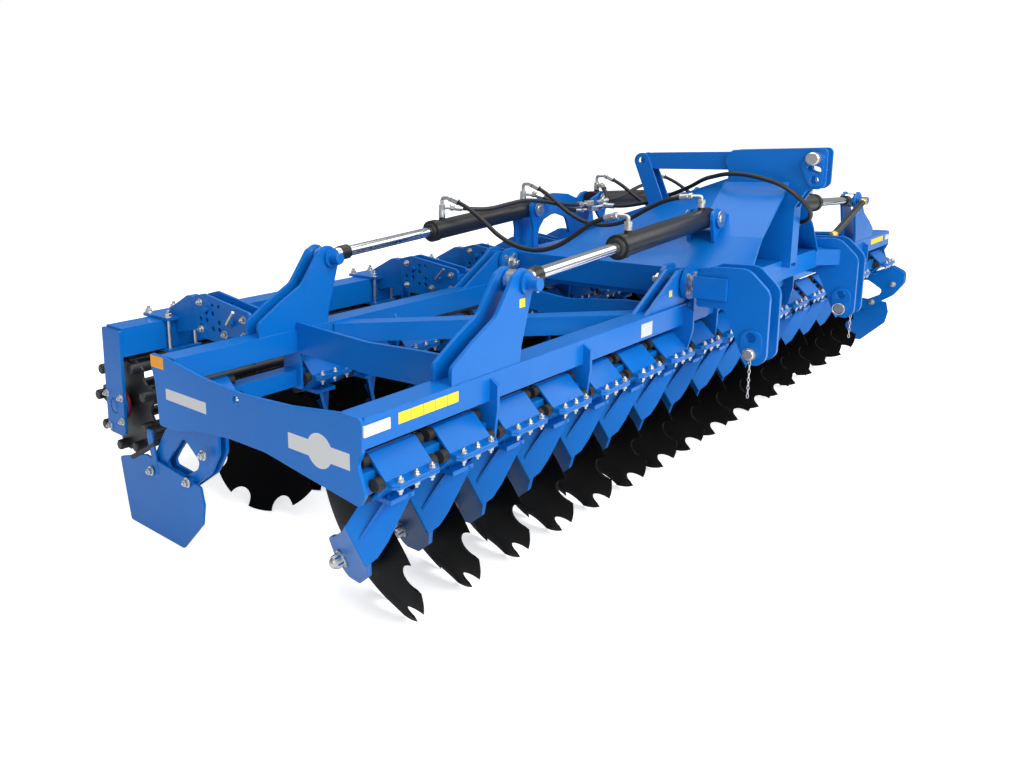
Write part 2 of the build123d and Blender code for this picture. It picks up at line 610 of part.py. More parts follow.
def strut():
    """Channel under the tie's rear end, open to the front, standing on the ridge bar."""
    along = (STRUT_FOOT - STRUT_TOP).normalized()
    across = Vector(0, along.Z, -along.Y) * -1
    reach = (STRUT_FOOT - STRUT_TOP).length + 45
    rear, front = STRUT_TOP + across * STRUT_R, STRUT_TOP - across * STRUT_R
    over = along * -STRUT_R
    corners = [rear + over, front + over, front + along * reach, rear + along * reach]
    cheek = [(corners[0].Y, corners[0].Z, STRUT_R - 0.5), (corners[1].Y, corners[1].Z, STRUT_R - 0.5),
             (corners[2].Y, corners[2].Z), (corners[3].Y, corners[3].Z)]
    inner = STRUT_TOP + across * (STRUT_R - STRUT_T)
    web = [(rear.Y, rear.Z), (corners[3].Y, corners[3].Z),
           ((inner + along * reach).Y, (inner + along * reach).Z), (inner.Y, inner.Z)]
    gap = MAST_CLEAR / 2
    hole = [(STRUT_TOP.Y, STRUT_TOP.Z, 15)]
    cheeks = [plate_x(cheek, low, STRUT_T, hole) for low in (gap, -gap - STRUT_T)]
    return [*cheeks, plate_x(web, -gap, 2 * gap)]


# the hood's cross sections: Y, X of the side, Z of the side, Z beside the ridge, X and Z of the bend between
HOOD = (
    (890.0, 440.0, 836.0, 842.0, 285.0, 838.3),
    (109.0, 440.0, 836.0, 1146.0, 285.0, 955.0),
    (-140.0, 365.0, 850.0, 1150.0, 285.0, 956.0),
)
HOOD_T = 8.0
SKIRT = (150.0, 842.0, 731.0)       # Y from, to and Z of the hood's side skirts


def hood_side(inset, shift=0.0):
    """One half of the hood as a closed body, its faces moved in by inset."""
    near = MAST_HALF + CLEAR - inset
    low = 690 - inset
    drop = 1.3 * inset - shift
    sections = []
    for i, (y, side, side_z, ridge_z, bend, bend_z) in enumerate(HOOD):
        y_at = y if 0 < i < len(HOOD) - 1 else y - inset
        points = [(near, low), (near, ridge_z - drop), (bend, bend_z - drop), (side - inset, side_z - drop),
                  (side - inset, low)]
        sections.append(Face(Wire.make_polygon([Vector(u, y_at, v) for u, v in points])))
    return loft(sections, ruled=True)


def hood():
    """Two halves of bent sheet beside the ridge bar, open below and in front, with side skirts."""
    half = hood_side(0) - hood_side(HOOD_T)
    y_skirt, y_lug, z_skirt = SKIRT
    cuts = ((-300, y_skirt, TOWER_FOOT), (y_lug, 1000, TOWER_FOOT), (-300, 1000, z_skirt))
    for y_from, y_to, z_to in cuts:
        half -= block(-10, 500, y_from, y_to, 600, z_to)
    half -= block(-10, SIDE_BEAM[1] + 1, -300, 1000, 600, TOWER_FOOT)
    half -= cross_tube_room()
    return [half, flip(half)]


def cylinder_ears(row_y, behind):
    """Ears for a cylinder's base pin on the machine's right, standing on the hood."""
    x, z = -BASE_PIN[0], BASE_PIN[1]
    middle = row_y + FRONT_BEAM_Y + BEAM / 2
    shape = [(x - 30, 800), (x - 30, z - 90), (x - 56, z, 10), (x - 50, z + 32, 25), (x, z + 40, 30),
             (x + 110, z + 5, 12), (x + 8, z - 98), (x + 8, 800)]
    places = [middle - EAR_INNER - EAR_T] + ([middle + EAR_INNER] if behind else [])
    room = flip(hood_side(0, shift=CLEAR))
    ears = []
    for y in places:
        boss_low = y + EAR_T if y > middle else y - BOSS_T
        boss = rod_y(boss_low, boss_low + BOSS_T, x, z, 32)
        bore = rod_y(y - 30, y + 40, x, z, PIN_R)
        ears.append(join([plate_y(shape, y, EAR_T), boss]) - bore - room)
    return ears


def tower():
    """Mast, the cylinders' ears and the rear arch that joins the rear ones."""
    ears = cylinder_ears(0, True) + cylinder_ears(ROW_SPACING, False)
    x, z = BASE_PIN
    half = [(0, z + 50, 120), (120, z + 38, 60), (215, z + 8, 20), (x - 30, z + 34, 20),
            (x + 10, z + 40, 30), (x + 50, z + 26, 25), (x + 56, z - 10, 10), (x + 36, z - 90),
            (x + 36, 700), (150, 700), (165, 820, 10), (110, 940, 40), (0, 972, 150)]
    mirrored = [(-p[0], *p[1:]) for p in reversed(half[1:-1])]
    arch = plate_y(half + mirrored, REAR_BEAM_Y + BEAM + CLEAR, EAR_T, [(-x, z, PIN_R), (x, z, PIN_R)])
    low_x, high_x, top = ARM_SLOT
    for from_x in (low_x, -high_x):
        arch -= block(from_x, from_x + high_x - low_x, REAR_BEAM_Y, REAR_BEAM_Y + 2 * BEAM, 600, top)
    return [mast(), *ears, *[flip(ear) for ear in ears], arch]


# ---------------------------------------------------------------- folding cylinders
PORTS = (40.0, 624.0)       # oil ports along the barrel, from the base pin
PORT_R = 13.0


def cylinder_way():
    """Unit vector from the base pin to the rod pin of the right wing's cylinders, and their distance."""
    way = Vector(-ROD_PIN[0] + BASE_PIN[0], 0, ROD_PIN[1] - BASE_PIN[1])
    return way.normalized(), way.length


def barrel(y):
    way, _ = cylinder_way()
    base = Vector(-BASE_PIN[0], y, BASE_PIN[1])
    tube = rod_between(base + way * BARREL_FROM, base + way * BARREL_LENGTH, BARREL_R)
    gland_at = base + way * BARREL_LENGTH
    gland = rod_between(gland_at - way * 26, gland_at + way * 6, BARREL_R + 4)
    bore = rod_between(base + way * 120, base + way * (BARREL_LENGTH + 30), ROD_R + 0.3)
    reach = EAR_INNER + EAR_T
    pin = rod_y(y - reach - 12, y + reach + 12, base.X, base.Z, PIN_R - PIN_PLAY)
    spots = [base + way * at for at in PORTS]
    ports = [rod_between(spot, spot + Vector(0, 0, BARREL_R + 14), PORT_R) for spot in spots]
    return join([tube, gland, pin, *ports]) - bore


def piston_rod(y):
    way, length = cylinder_way()
    base = Vector(-BASE_PIN[0], y, BASE_PIN[1])
    rod = rod_between(base + way * (BARREL_LENGTH - 120), base + way * (length - 36), ROD_R)
    eye = rod_y(y - EYE_WIDTH / 2, y + EYE_WIDTH / 2, -ROD_PIN[0], ROD_PIN[1], 36)
    neck = rod_between(base + way * (length - 74), base + way * (length - 34), 24)
    hole = rod_y(y - 40, y + 40, -ROD_PIN[0], ROD_PIN[1], PIN_R + 1)
    return join([rod, eye, neck]) - hole


# ---------------------------------------------------------------- roller and its frame
def rotor(x_low, x_high):
    """Tube roller: round tubes on star plates, with stub shafts."""
    tubes = []
    for i in range(ROLLER_TUBES):
        turn = radians(i * 360 / ROLLER_TUBES)
        y, z = ROLLER_Y + ROLLER_PITCH_R * cos(turn), ROLLER_Z + ROLLER_PITCH_R * sin(turn)
        tubes.append(rod_x(x_low, x_high, y, z, ROLLER_TUBE_R))
    stars = []
    notches = []
    for i in range(ROLLER_TUBES):
        turn = radians((i + 0.5) * 360 / ROLLER_TUBES)
        y, z = ROLLER_Y + NOTCH_PITCH_R * cos(turn), ROLLER_Z + NOTCH_PITCH_R * sin(turn)
        notches.append(rod_x(x_low, x_high, y, z, ROLLER_NOTCH_R))
    count = 4 if x_high - x_low > 1200 else 3
    for i in range(count):
        x = x_low + 30 + (x_high - x_low - 70) * i / (count - 1)
        stars.append(rod_x(x, x + STAR_T, ROLLER_Y, ROLLER_Z, STAR_R).cut(*notches))
    shaft = rod_x(x_low + 30, x_high - 30, ROLLER_Y, ROLLER_Z, SHAFT_R)
    stubs = rod_x(x_low - 18, x_high + 18, ROLLER_Y, ROLLER_Z, STUB_R)
    return join([shaft, stubs, *stars, *tubes])


def roller_arm(x):
    """Two plates with rows of holes, bolted to the rear beam, and the arm they hold."""
    rear_face = REAR_BEAM_Y + BEAM
    cheeks = []
    shape = [(rear_face + CLEAR, 670), (rear_face + CLEAR, 786, 20), (1212, 824, 30), (1278, 806, 15),
             (1262, 690, 20), (1236, 657, 15), (1142, 653, 15), (1049, 688, 40)]
    holes = [(1120 + 38 * i, 700 + 28 * j, 9) for i in range(4) for j in range(4) if (i + j) % 3 < 2]
    for low in (x - 37, x + 25):
        cheeks.append(plate_x(shape, low, SIDE_PLATE_T, holes))
    foot = block(x - 25, x + 25, rear_face + CLEAR, rear_face + 60, 672, 760)
    top = ROLLER_BEAM[3]
    limb = [(1010, 705), (1012, 770, 20), (1210, 792, 60), (1342, 800, 20), (1470, 732, 30), (1470, top - 4),
            (ROLLER_BEAM[0] + 4, top - 4), (ROLLER_BEAM[0] + 4, 640, 20), (1300, 672, 60), (1120, 690, 60)]
    link = plate_x(limb, x - 20, 40)
    pins = [rod_x(x - 52, x + 52, 1040, 738, 12), rod_x(x - 52, x + 52, 1190, 770, 10)]
    saddle = block(x - 75, x + 75, ROLLER_BEAM[0] - 30, ROLLER_BEAM[1] + 30, top, top + 12)
    return join([*cheeks, foot, link, *pins, saddle])


def roller_frame(x_low, x_high, arm_places):
    """Beam, side plates with bearings, and the arms from the rear beam."""
    y_from, y_to, z_from, z_to = ROLLER_BEAM
    pieces = [block(x_low + SIDE_PLATE_T, x_high - SIDE_PLATE_T, y_from, y_to, z_from, z_to)]
    cheek = [(1433, 690, 6), (1433, 620), (1440, 290, 20), (1460, 278, 20), (1550, 278, 20), (1565, 300, 20),
             (1560, 690, 6)]
    for low in (x_low, x_high - SIDE_PLATE_T):
        pieces.append(plate_x(cheek, low, SIDE_PLATE_T, [(ROLLER_Y, ROLLER_Z, 30)]))
    for low in (x_low + SIDE_PLATE_T, x_high - SIDE_PLATE_T - BEARING_T):
        ring = rod_x(low, low + BEARING_T, ROLLER_Y, ROLLER_Z, 62)
        bore = rod_x(low - 1, low + BEARING_T + 1, ROLLER_Y, ROLLER_Z, STUB_R + 0.6)
        pieces.append(ring - bore)
    pieces += [roller_arm(x) for x in arm_places]
    return join(pieces)


# ---------------------------------------------------------------- hydraulic hoses
HOSE_D = 18.0
# routes (X, Y, Z) of the right side: rod ends, tee to manifold, base ends, tee to manifold
SIDE_HOSES = (
    ((-911, 846, 1108), (-911, 780, 1086), (-911, 690, 1030), (-911, 600, 962), (-911, 470, 925),
     (-911, 360, 948), (-911, 270, 1010), (-911, 200, 1062), (-911, 134, 1078)),
    ((-870, 869, 1070), (-820, 832, 1062), (-740, 790, 1056), (-650, 765, 1070), (-540, 745, 1082),
     (-420, 738, 1068), (-300, 724, 1046), (-190, 722, 1034), (-100, 738, 1028)),
    ((-335, 841, 1128), (-335, 776, 1100), (-335, 700, 1042), (-335, 630, 998), (-335, 560, 972),
     (-335, 470, 968), (-335, 390, 990), (-335, 310, 1040), (-335, 240, 1078), (-335, 180, 1098),
     (-335, 127, 1104)),
    ((-300, 850, 1083), (-262, 812, 1066), (-215, 775, 1030), (-160, 752, 1006), (-100, 742, 1000)),
)
# the supply hose: from the manifold along the ridge, over it behind the mast and round the mast's front
SUPPLY_HOSE = (
    (60, 690, 1012), (66, 630, 1010), (72, 550, 1022), (76, 460, 1045), (76, 375, 1080), (72, 300, 1112),
    (44, 244, 1142), (-6, 196, 1157), (-60, 152, 1166), (-90, 84, 1182), (-96, 10, 1182), (-98, -62, 1166),
    (-98, -128, 1146), (-80, -178, 1108), (-34, -208, 1062), (14, -212, 1024), (58, -192, 996),
    (92, -156, 980), (111, -110, 972),
)


def hose(route):
    """A round hose along straight runs joined by tangent arcs."""
    points = [Vector(*p) for p in route]
    radii = []
    for before, at, after in zip(points, points[1:], points[2:]):
        coming, going = at - before, after - at
        turn = acos(max(-1.0, min(1.0, coming.normalized().dot(going.normalized()))))
        radii.append(0.45 * min(coming.length, going.length) / tan(turn / 2))
    print(f"hose: radii from {min(radii):.0f} to {max(radii):.0f} mm")
    path = FilletPolyline(*points, radius=radii)
    section = Plane(origin=path @ 0, z_dir=path % 0) * Circle(HOSE_D / 2)
    solid = sweep(section, path=path)
    ratio = solid.volume / (section.area * path.length)
    print(f"hose: length {path.length:.0f} mm, volume over section times length {ratio:.4f}")
    return solid


# ---------------------------------------------------------------- which stations belong to which section
# section, stations of the front row, stations of the rear row
SECTIONS = (
    ("right", range(0, 7), range(2, 7)),
    ("centre", range(7, 11), range(7, 11)),
    ("left", range(11, 16), range(11, 18)),
)


def main():
    os.makedirs("parts", exist_ok=True)
    steel = {1: station_steel(1), -1: station_steel(-1)}
    rubber = station_rubber()
    blades = {1: blade(1), -1: blade(-1)}
    last_of_wing = {6: station_rubber(high_reach=0), 11: station_rubber(low_reach=0)}
    for section, front, rear in SECTIONS:
        arms, rods = [], []
        for side, row_y, places in ((1, 0, front), (-1, ROW_SPACING, rear)):
            for number in places:
                spot = Pos(station_x(number), row_y, 0)
                arms += [spot * s for s in steel[side]]
                rods += [spot * s for s in last_of_wing.get(number, rubber)]
                row = "front" if side > 0 else "rear"
                first = 0 if side > 0 else 2
                save(f"disc_{row}_{number - first + 1:02d}", spot * blades[side])
        if section != "centre":
            row_y = ROW_SPACING if section == "right" else 0
            spot = Pos(station_x(0 if section == "right" else STATIONS - 1), row_y, 0)
            rods += [spot * s for s in rubber]
            outward = -1 if section == "right" else 1
            save(f"deflector_{section}", [spot * s for s in deflector(outward)])
        save(f"arms_{section}", arms)
        save(f"rubbers_{section}", rods)

    frame = wing_frame()
    save("wing_frame_right", frame)
    save("wing_frame_left", flip(frame))
    save("centre_frame", centre_frame())
    save("hitch_brackets", hitch_brackets())
    hinge_pins = [hinge_pin(row) for row in (0, ROW_SPACING)]
    save("hitch_pins", hitch_pins() + hinge_pins + [flip(pin) for pin in hinge_pins])
    save("hood", hood())
    save("tower", tower())

    barrels = [barrel(y) for y in CYLINDER_PLANES]
    rods = [piston_rod(y) for y in CYLINDER_PLANES]
    save("barrels_right", barrels)
    save("barrels_left", [flip(b) for b in barrels])
    save("rods_right", rods)
    save("rods_left", [flip(r) for r in rods])

    wing_roller = roller_frame(-2125, -560, (-1860, -720))
    save("roller_frame_right", wing_roller)
    save("roller_frame_left", flip(wing_roller))
    save("roller_frame_centre", roller_frame(-520, 520, (-250, 250)))
    wing_rotor = rotor(-2098, -587)
    save("roller_right", wing_rotor)
    save("roller_left", flip(wing_rotor))
    save("roller_centre", rotor(-493, 493))

    side_hoses = [hose(route) for route in SIDE_HOSES]
    save("hoses_right", side_hoses)
    save("hoses_left", [flip(h) for h in side_hoses])
    save("hoses_centre", hose(SUPPLY_HOSE))


main()
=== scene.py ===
"""Dresses the folding disc harrow: paint, bolts, hoses, plates, reflectors, studio and camera."""
import bmesh
import bpy
from math import cos, pi, radians, sin, sqrt
from mathutils import Matrix, Vector


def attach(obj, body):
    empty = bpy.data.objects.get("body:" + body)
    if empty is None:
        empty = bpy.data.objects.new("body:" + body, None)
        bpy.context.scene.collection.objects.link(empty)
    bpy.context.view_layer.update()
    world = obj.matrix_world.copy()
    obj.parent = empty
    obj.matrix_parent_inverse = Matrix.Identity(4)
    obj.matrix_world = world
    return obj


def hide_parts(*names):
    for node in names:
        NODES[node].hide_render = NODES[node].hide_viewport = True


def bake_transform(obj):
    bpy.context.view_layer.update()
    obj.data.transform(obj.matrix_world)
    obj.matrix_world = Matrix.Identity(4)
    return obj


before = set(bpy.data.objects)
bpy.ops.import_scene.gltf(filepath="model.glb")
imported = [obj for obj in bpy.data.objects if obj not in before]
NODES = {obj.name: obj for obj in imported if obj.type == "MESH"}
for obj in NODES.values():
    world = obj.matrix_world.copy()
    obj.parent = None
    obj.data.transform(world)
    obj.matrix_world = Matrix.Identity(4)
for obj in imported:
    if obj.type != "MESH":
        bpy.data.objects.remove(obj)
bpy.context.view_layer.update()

MM = 0.001
MID_Y = 0.711               # the clamps' front bolts stand this far in front of the origin

# places in millimetres, as spot() takes them
PITCH = 250.0               # disc to disc along a row
FIRST_STATION = -2125.0
STATIONS = 18
ROW = 820.0                 # front row to rear row
BAR_MIDDLE = 80.0           # suspension bar, behind the clamps' bolts
CLAMP_Z = 540.0
BEAM_FACE_Y = 38.0          # front beams' front face
CYLINDERS_Y = (78.0, 898.0)     # planes of the folding cylinders
BASE_PIN = (289.0, 1018.0)      # X and Z of their pins
ROD_PIN = (1581.0, 949.0)
FOLD_PIN = (502.0, 796.0)
MANIFOLD_Y = 740.0
LOWER_PIN = (-226.0, 576.0)     # Y and Z
TOP_PIN = (-228.0, 1242.0)
ROLLER_AXIS = (1505.0, 390.0)
ROLLER_PITCH_R = 175.0
ROLLER_TUBES = 9
ROLLER_BEAM_Y = 1490.0
WINGS = (("right", -1), ("left", 1))


def spot(x, y, z):
    """A place in millimetres, Y from the front clamps' bolts, in the frame's metres."""
    return Vector((x * MM, y * MM - MID_Y, z * MM))


# ---------------------------------------------------------------- camera, floor and light
def add_camera():
    data = bpy.data.cameras.new("camera")
    data.sensor_width = 36
    data.lens = 29.78
    data.shift_x = 0.1664
    data.shift_y = -0.0895
    camera = bpy.data.objects.new("camera", data)
    bpy.context.scene.collection.objects.link(camera)
    heading, tilt, roll = radians(43.833), radians(10.879), radians(-1.491)
    turn = Matrix.Rotation(-heading, 4, "Z") @ Matrix.Rotation(pi / 2 - tilt, 4, "X")
    turn = turn @ Matrix.Rotation(roll, 4, "Z")
    camera.matrix_world = Matrix.Translation(spot(-3632.3, -1325.7, 1398.1)) @ turn
    bpy.context.scene.camera = camera


def node_tree(owner):
    owner.use_nodes = True
    owner.node_tree.nodes.clear()
    return owner.node_tree


def add_studio():
    scene = bpy.context.scene
    scene.view_settings.view_transform = "Standard"
    world = bpy.data.worlds.new("studio")
    scene.world = world
    tree = node_tree(world)
    out = tree.nodes.new("ShaderNodeOutputWorld")
    path = tree.nodes.new("ShaderNodeLightPath")
    soft = tree.nodes.new("ShaderNodeBackground")
    soft.inputs["Color"].default_value = (0.92, 0.96, 1.0, 1)
    soft.inputs["Strength"].default_value = 0.34
    white = tree.nodes.new("ShaderNodeBackground")
    white.inputs["Color"].default_value = (1, 1, 1, 1)
    white.inputs["Strength"].default_value = 1.0
    mix = tree.nodes.new("ShaderNodeMixShader")
    tree.links.new(path.outputs["Is Camera Ray"], mix.inputs["Fac"])
    tree.links.new(soft.outputs[0], mix.inputs[1])
    tree.links.new(white.outputs[0], mix.inputs[2])
    tree.links.new(mix.outputs[0], out.inputs["Surface"])

    bpy.ops.mesh.primitive_plane_add(size=60)
    floor = bpy.context.object
    floor.name = "floor"
    floor.location = (6, 6, -0.0005)
    material = bpy.data.materials.new("pale_floor")
    tree = node_tree(material)
    out = tree.nodes.new("ShaderNodeOutputMaterial")
    shader = tree.nodes.new("ShaderNodeBsdfPrincipled")
    shader.inputs["Base Color"].default_value = (0.86, 0.86, 0.86, 1)
    shader.inputs["Roughness"].default_value = 0.9
    shader.inputs["Specular IOR Level"].default_value = 0.1
    glow = tree.nodes.new("ShaderNodeEmission")
    glow.inputs["Color"].default_value = (1, 1, 1, 1)
    spread = tree.nodes.new("ShaderNodeVectorMath")
    spread.operation = "LENGTH"
    place = tree.nodes.new("ShaderNodeNewGeometry")
    tree.links.new(place.outputs["Position"], spread.inputs[0])
    brighter = tree.nodes.new("ShaderNodeMapRange")
    for name, value in (("From Min", 2.5), ("From Max", 8.0), ("To Min", 0.62), ("To Max", 1.0)):
        brighter.inputs[name].default_value = value
    tree.links.new(spread.outputs["Value"], brighter.inputs["Value"])
    tree.links.new(brighter.outputs[0], glow.inputs["Strength"])
    path = tree.nodes.new("ShaderNodeLightPath")
    both = tree.nodes.new("ShaderNodeAddShader")
    seen = tree.nodes.new("ShaderNodeMixShader")
    tree.links.new(shader.outputs[0], both.inputs[0])
    tree.links.new(glow.outputs[0], both.inputs[1])
    tree.links.new(path.outputs["Is Camera Ray"], seen.inputs["Fac"])
    tree.links.new(shader.outputs[0], seen.inputs[1])
    tree.links.new(both.outputs[0], seen.inputs[2])
    tree.links.new(seen.outputs[0], out.inputs["Surface"])
    floor.data.materials.append(material)

    for name, place, size, power, aim in (
        ("key", (-2.2, -8.0, 5.2), 5.0, 720, (-0.5, 0, 0.5)),
        ("fill", (-7.0, -2.5, 4.0), 5.0, 120, (-0.5, 0, 0.5)),
        ("top", (0.5, 0, 7.5), 7.0, 380, (0, 0, 0)),
        ("right", (6.5, -5.0, 5.0), 5.0, 150, (0.5, 0, 0.5)),
    ):
        data = bpy.data.lights.new(name, "AREA")
        data.size = size
        data.energy = power
        lamp = bpy.data.objects.new(name, data)
        scene.collection.objects.link(lamp)
        lamp.location = place
        lamp.rotation_euler = (Vector(place) - Vector(aim)).to_track_quat("Z", "Y").to_euler()


# ---------------------------------------------------------------- finishes
def socket(group, name, kind, way, value=None):
    item = group.interface.new_socket(name=name, in_out=way, socket_type=kind)
    if value is not None:
        item.default_value = value
    return item


def edge_highlight_mask_group():
    """Mask of the painted edge highlight: 1 along convex edges, broken up by noise, and 0 on flats."""
    group = bpy.data.node_groups.new("painted_edge_highlight", "ShaderNodeTree")
    socket(group, "Radius", "NodeSocketFloat", "INPUT", 0.004)
    socket(group, "Scale", "NodeSocketFloat", "INPUT", 30.0)
    socket(group, "Amount", "NodeSocketFloat", "INPUT", 0.5)
    socket(group, "Mask", "NodeSocketFloat", "OUTPUT")
    n, l = group.nodes, group.links
    given, out = n.new("NodeGroupInput"), n.new("NodeGroupOutput")
    bevel, geometry = n.new("ShaderNodeBevel"), n.new("ShaderNodeNewGeometry")
    dot = n.new("ShaderNodeVectorMath")
    bevel.samples = 4
    dot.operation = "DOT_PRODUCT"
    l.new(given.outputs["Radius"], bevel.inputs["Radius"])
    l.new(bevel.outputs[0], dot.inputs[0])
    l.new(geometry.outputs["Normal"], dot.inputs[1])
    edge = n.new("ShaderNodeMapRange")
    edge.inputs["From Min"].default_value = 0.985
    edge.inputs["From Max"].default_value = 0.80
    l.new(dot.outputs["Value"], edge.inputs["Value"])
    place, noise = n.new("ShaderNodeTexCoord"), n.new("ShaderNodeTexNoise")
    noise.inputs["Detail"].default_value = 6
    l.new(place.outputs["Object"], noise.inputs["Vector"])
    l.new(given.outputs["Scale"], noise.inputs["Scale"])
    cut = n.new("ShaderNodeMapRange")
    cut.inputs["From Min"].default_value = 0.48
    cut.inputs["From Max"].default_value = 0.62
    l.new(noise.outputs["Fac"], cut.inputs["Value"])
    times, last = n.new("ShaderNodeMath"), n.new("ShaderNodeMath")
    times.operation = last.operation = "MULTIPLY"
    l.new(edge.outputs[0], times.inputs[0])
    l.new(cut.outputs[0], times.inputs[1])
    l.new(times.outputs[0], last.inputs[0])
    l.new(given.outputs["Amount"], last.inputs[1])
    l.new(last.outputs[0], out.inputs["Mask"])
    return group


def paint_film_group():
    """Colour drift, roughness drift and a fine orange-peel height of a sprayed coat."""
    group = bpy.data.node_groups.new("paint_film", "ShaderNodeTree")
    socket(group, "Colour", "NodeSocketColor", "INPUT", (0.01, 0.15, 0.6, 1))
    socket(group, "Roughness", "NodeSocketFloat", "INPUT", 0.3)
    socket(group, "Drift", "NodeSocketFloat", "INPUT", 0.12)
    socket(group, "Peel Scale", "NodeSocketFloat", "INPUT", 260.0)
    socket(group, "Colour", "NodeSocketColor", "OUTPUT")
    socket(group, "Roughness", "NodeSocketFloat", "OUTPUT")
    socket(group, "Height", "NodeSocketFloat", "OUTPUT")
    n, l = group.nodes, group.links
    given, out = n.new("NodeGroupInput"), n.new("NodeGroupOutput")
    place = n.new("ShaderNodeTexCoord")
    broad, fine, peel = n.new("ShaderNodeTexNoise"), n.new("ShaderNodeTexNoise"), n.new("ShaderNodeTexNoise")
    broad.inputs["Scale"].default_value = 1.7
    broad.inputs["Detail"].default_value = 3
    fine.inputs["Scale"].default_value = 14
    fine.inputs["Detail"].default_value = 7
    peel.inputs["Detail"].default_value = 2
    for noise in (broad, fine, peel):
        l.new(place.outputs["Object"], noise.inputs["Vector"])
    l.new(given.outputs["Peel Scale"], peel.inputs["Scale"])
    centre = n.new("ShaderNodeMapRange")
    centre.inputs["From Min"].default_value = 0.3
    centre.inputs["From Max"].default_value = 0.7
    centre.inputs["To Min"].default_value = -1
    centre.inputs["To Max"].default_value = 1
    l.new(broad.outputs["Fac"], centre.inputs["Value"])
    swing = n.new("ShaderNodeMath")
    swing.operation = "MULTIPLY_ADD"
    swing.inputs[2].default_value = 1
    l.new(centre.outputs[0], swing.inputs[0])
    l.new(given.outputs["Drift"], swing.inputs[1])
    tint = n.new("ShaderNodeVectorMath")
    tint.operation = "SCALE"
    l.new(given.outputs["Colour"], tint.inputs[0])
    l.new(swing.outputs[0], tint.inputs["Scale"])
    l.new(tint.outputs[0], out.inputs["Colour"])
    rough = n.new("ShaderNodeMath")
    rough.operation = "MULTIPLY_ADD"
    rough.inputs[1].default_value = 0.16
    l.new(fine.outputs["Fac"], rough.inputs[0])
    l.new(given.outputs["Roughness"], rough.inputs[2])
    l.new(rough.outputs[0], out.inputs["Roughness"])
    l.new(peel.outputs["Fac"], out.inputs["Height"])
    return group


EDGE_HIGHLIGHT, FILM = edge_highlight_mask_group(), paint_film_group()


def finish(name, colour, roughness, metallic=0.0, drift=0.1, peel=260.0, bump=0.03, edge=(0.004, 0.0),
           highlight_colour=(0.5, 0.5, 0.5), coat=0.0, rounding=0.0, specular=0.5):
    """A surface: coat film, a painted highlight along convex edges and softened corners round one Principled
    shader.
    """
    material = bpy.data.materials.new(name)
    tree = node_tree(material)
    n, l = tree.nodes, tree.links
    out, shader = n.new("ShaderNodeOutputMaterial"), n.new("ShaderNodeBsdfPrincipled")
    l.new(shader.outputs[0], out.inputs["Surface"])
    film = n.new("ShaderNodeGroup")
    film.node_tree = FILM
    film.inputs["Colour"].default_value = (*colour, 1)
    film.inputs["Roughness"].default_value = roughness
    film.inputs["Drift"].default_value = drift
    film.inputs["Peel Scale"].default_value = peel
    shader.inputs["Metallic"].default_value = metallic
    shader.inputs["Specular IOR Level"].default_value = specular
    shader.inputs["Coat Weight"].default_value = coat
    shader.inputs["Coat Roughness"].default_value = 0.12
    # a lighter colour mixed in along convex edges: painted edge highlight
    if edge[1] > 0:
        highlight = n.new("ShaderNodeGroup")
        highlight.node_tree = EDGE_HIGHLIGHT
        highlight.inputs["Radius"].default_value = edge[0]
        highlight.inputs["Amount"].default_value = edge[1]
        mix = n.new("ShaderNodeMix")
        mix.data_type = "RGBA"
        l.new(highlight.outputs["Mask"], mix.inputs["Factor"])
        l.new(film.outputs["Colour"], mix.inputs["A"])
        mix.inputs["B"].default_value = (*highlight_colour, 1)
        l.new(mix.outputs["Result"], shader.inputs["Base Color"])
    else:
        l.new(film.outputs["Colour"], shader.inputs["Base Color"])
    l.new(film.outputs["Roughness"], shader.inputs["Roughness"])
    relief = n.new("ShaderNodeBump")
    relief.inputs["Strength"].default_value = bump
    relief.inputs["Distance"].default_value = 0.001
    l.new(film.outputs["Height"], relief.inputs["Height"])
    if rounding:
        soft = n.new("ShaderNodeBevel")
        soft.samples = 4
        soft.inputs["Radius"].default_value = rounding
        l.new(soft.outputs[0], relief.inputs["Normal"])
    l.new(relief.outputs[0], shader.inputs["Normal"])
    return material


def blue_paint(name):
    # the lighter blue along the edges is a painted edge highlight
    return finish(name, (0.0008, 0.137, 0.50), 0.26, drift=0.07, edge=(0.003, 0.35),
                  highlight_colour=(0.05, 0.26, 0.72), coat=0.08, rounding=0.003, specular=0.25)


SILVER_COLOUR = (0.58, 0.59, 0.60)
AMBER_COLOUR = (0.85, 0.33, 0.01)
BLUE = blue_paint("harrow_blue")
# the lighter grey along the edges of the black finishes is a painted edge highlight
BLACK = finish("roller_black", (0.012, 0.012, 0.014), 0.34, drift=0.2, edge=(0.003, 0.3),
               highlight_colour=(0.10, 0.10, 0.10), rounding=0.002)
DISC = finish("disc_black", (0.0016, 0.0015, 0.0016), 0.42, drift=0.25, bump=0.06, edge=(0.003, 0.5),
              highlight_colour=(0.07, 0.062, 0.055), rounding=0.0015, specular=0.07)
RUBBER = finish("rubber_rod", (0.012, 0.012, 0.012), 0.62, drift=0.2, peel=500, bump=0.15)
CHROME = finish("chromed_rod", (0.80, 0.81, 0.83), 0.06, metallic=1.0, drift=0.02, peel=30, bump=0.01)
ZINC = finish("zinc_plated", (0.60, 0.60, 0.58), 0.26, metallic=1.0, drift=0.15, peel=400, bump=0.05,
              rounding=0.001)
BARREL = finish("cylinder_black", (0.010, 0.010, 0.011), 0.28, drift=0.15, edge=(0.003, 0.3),
                highlight_colour=(0.1, 0.1, 0.1), rounding=0.002)
HOSE = finish("hose_rubber", (0.010, 0.010, 0.011), 0.42, drift=0.2, peel=900, bump=0.08)
PLASTIC = finish("black_plastic", (0.014, 0.014, 0.015), 0.35, drift=0.1)
RED = finish("bearing_red", (0.18, 0.006, 0.006), 0.30, drift=0.15, coat=0.3, rounding=0.002)
BRASS = finish("yellow_zinc", (0.62, 0.42, 0.12), 0.28, metallic=1.0, drift=0.2, peel=400)
YELLOW = finish("yellow_film", (0.85, 0.62, 0.01), 0.35, drift=0.04)
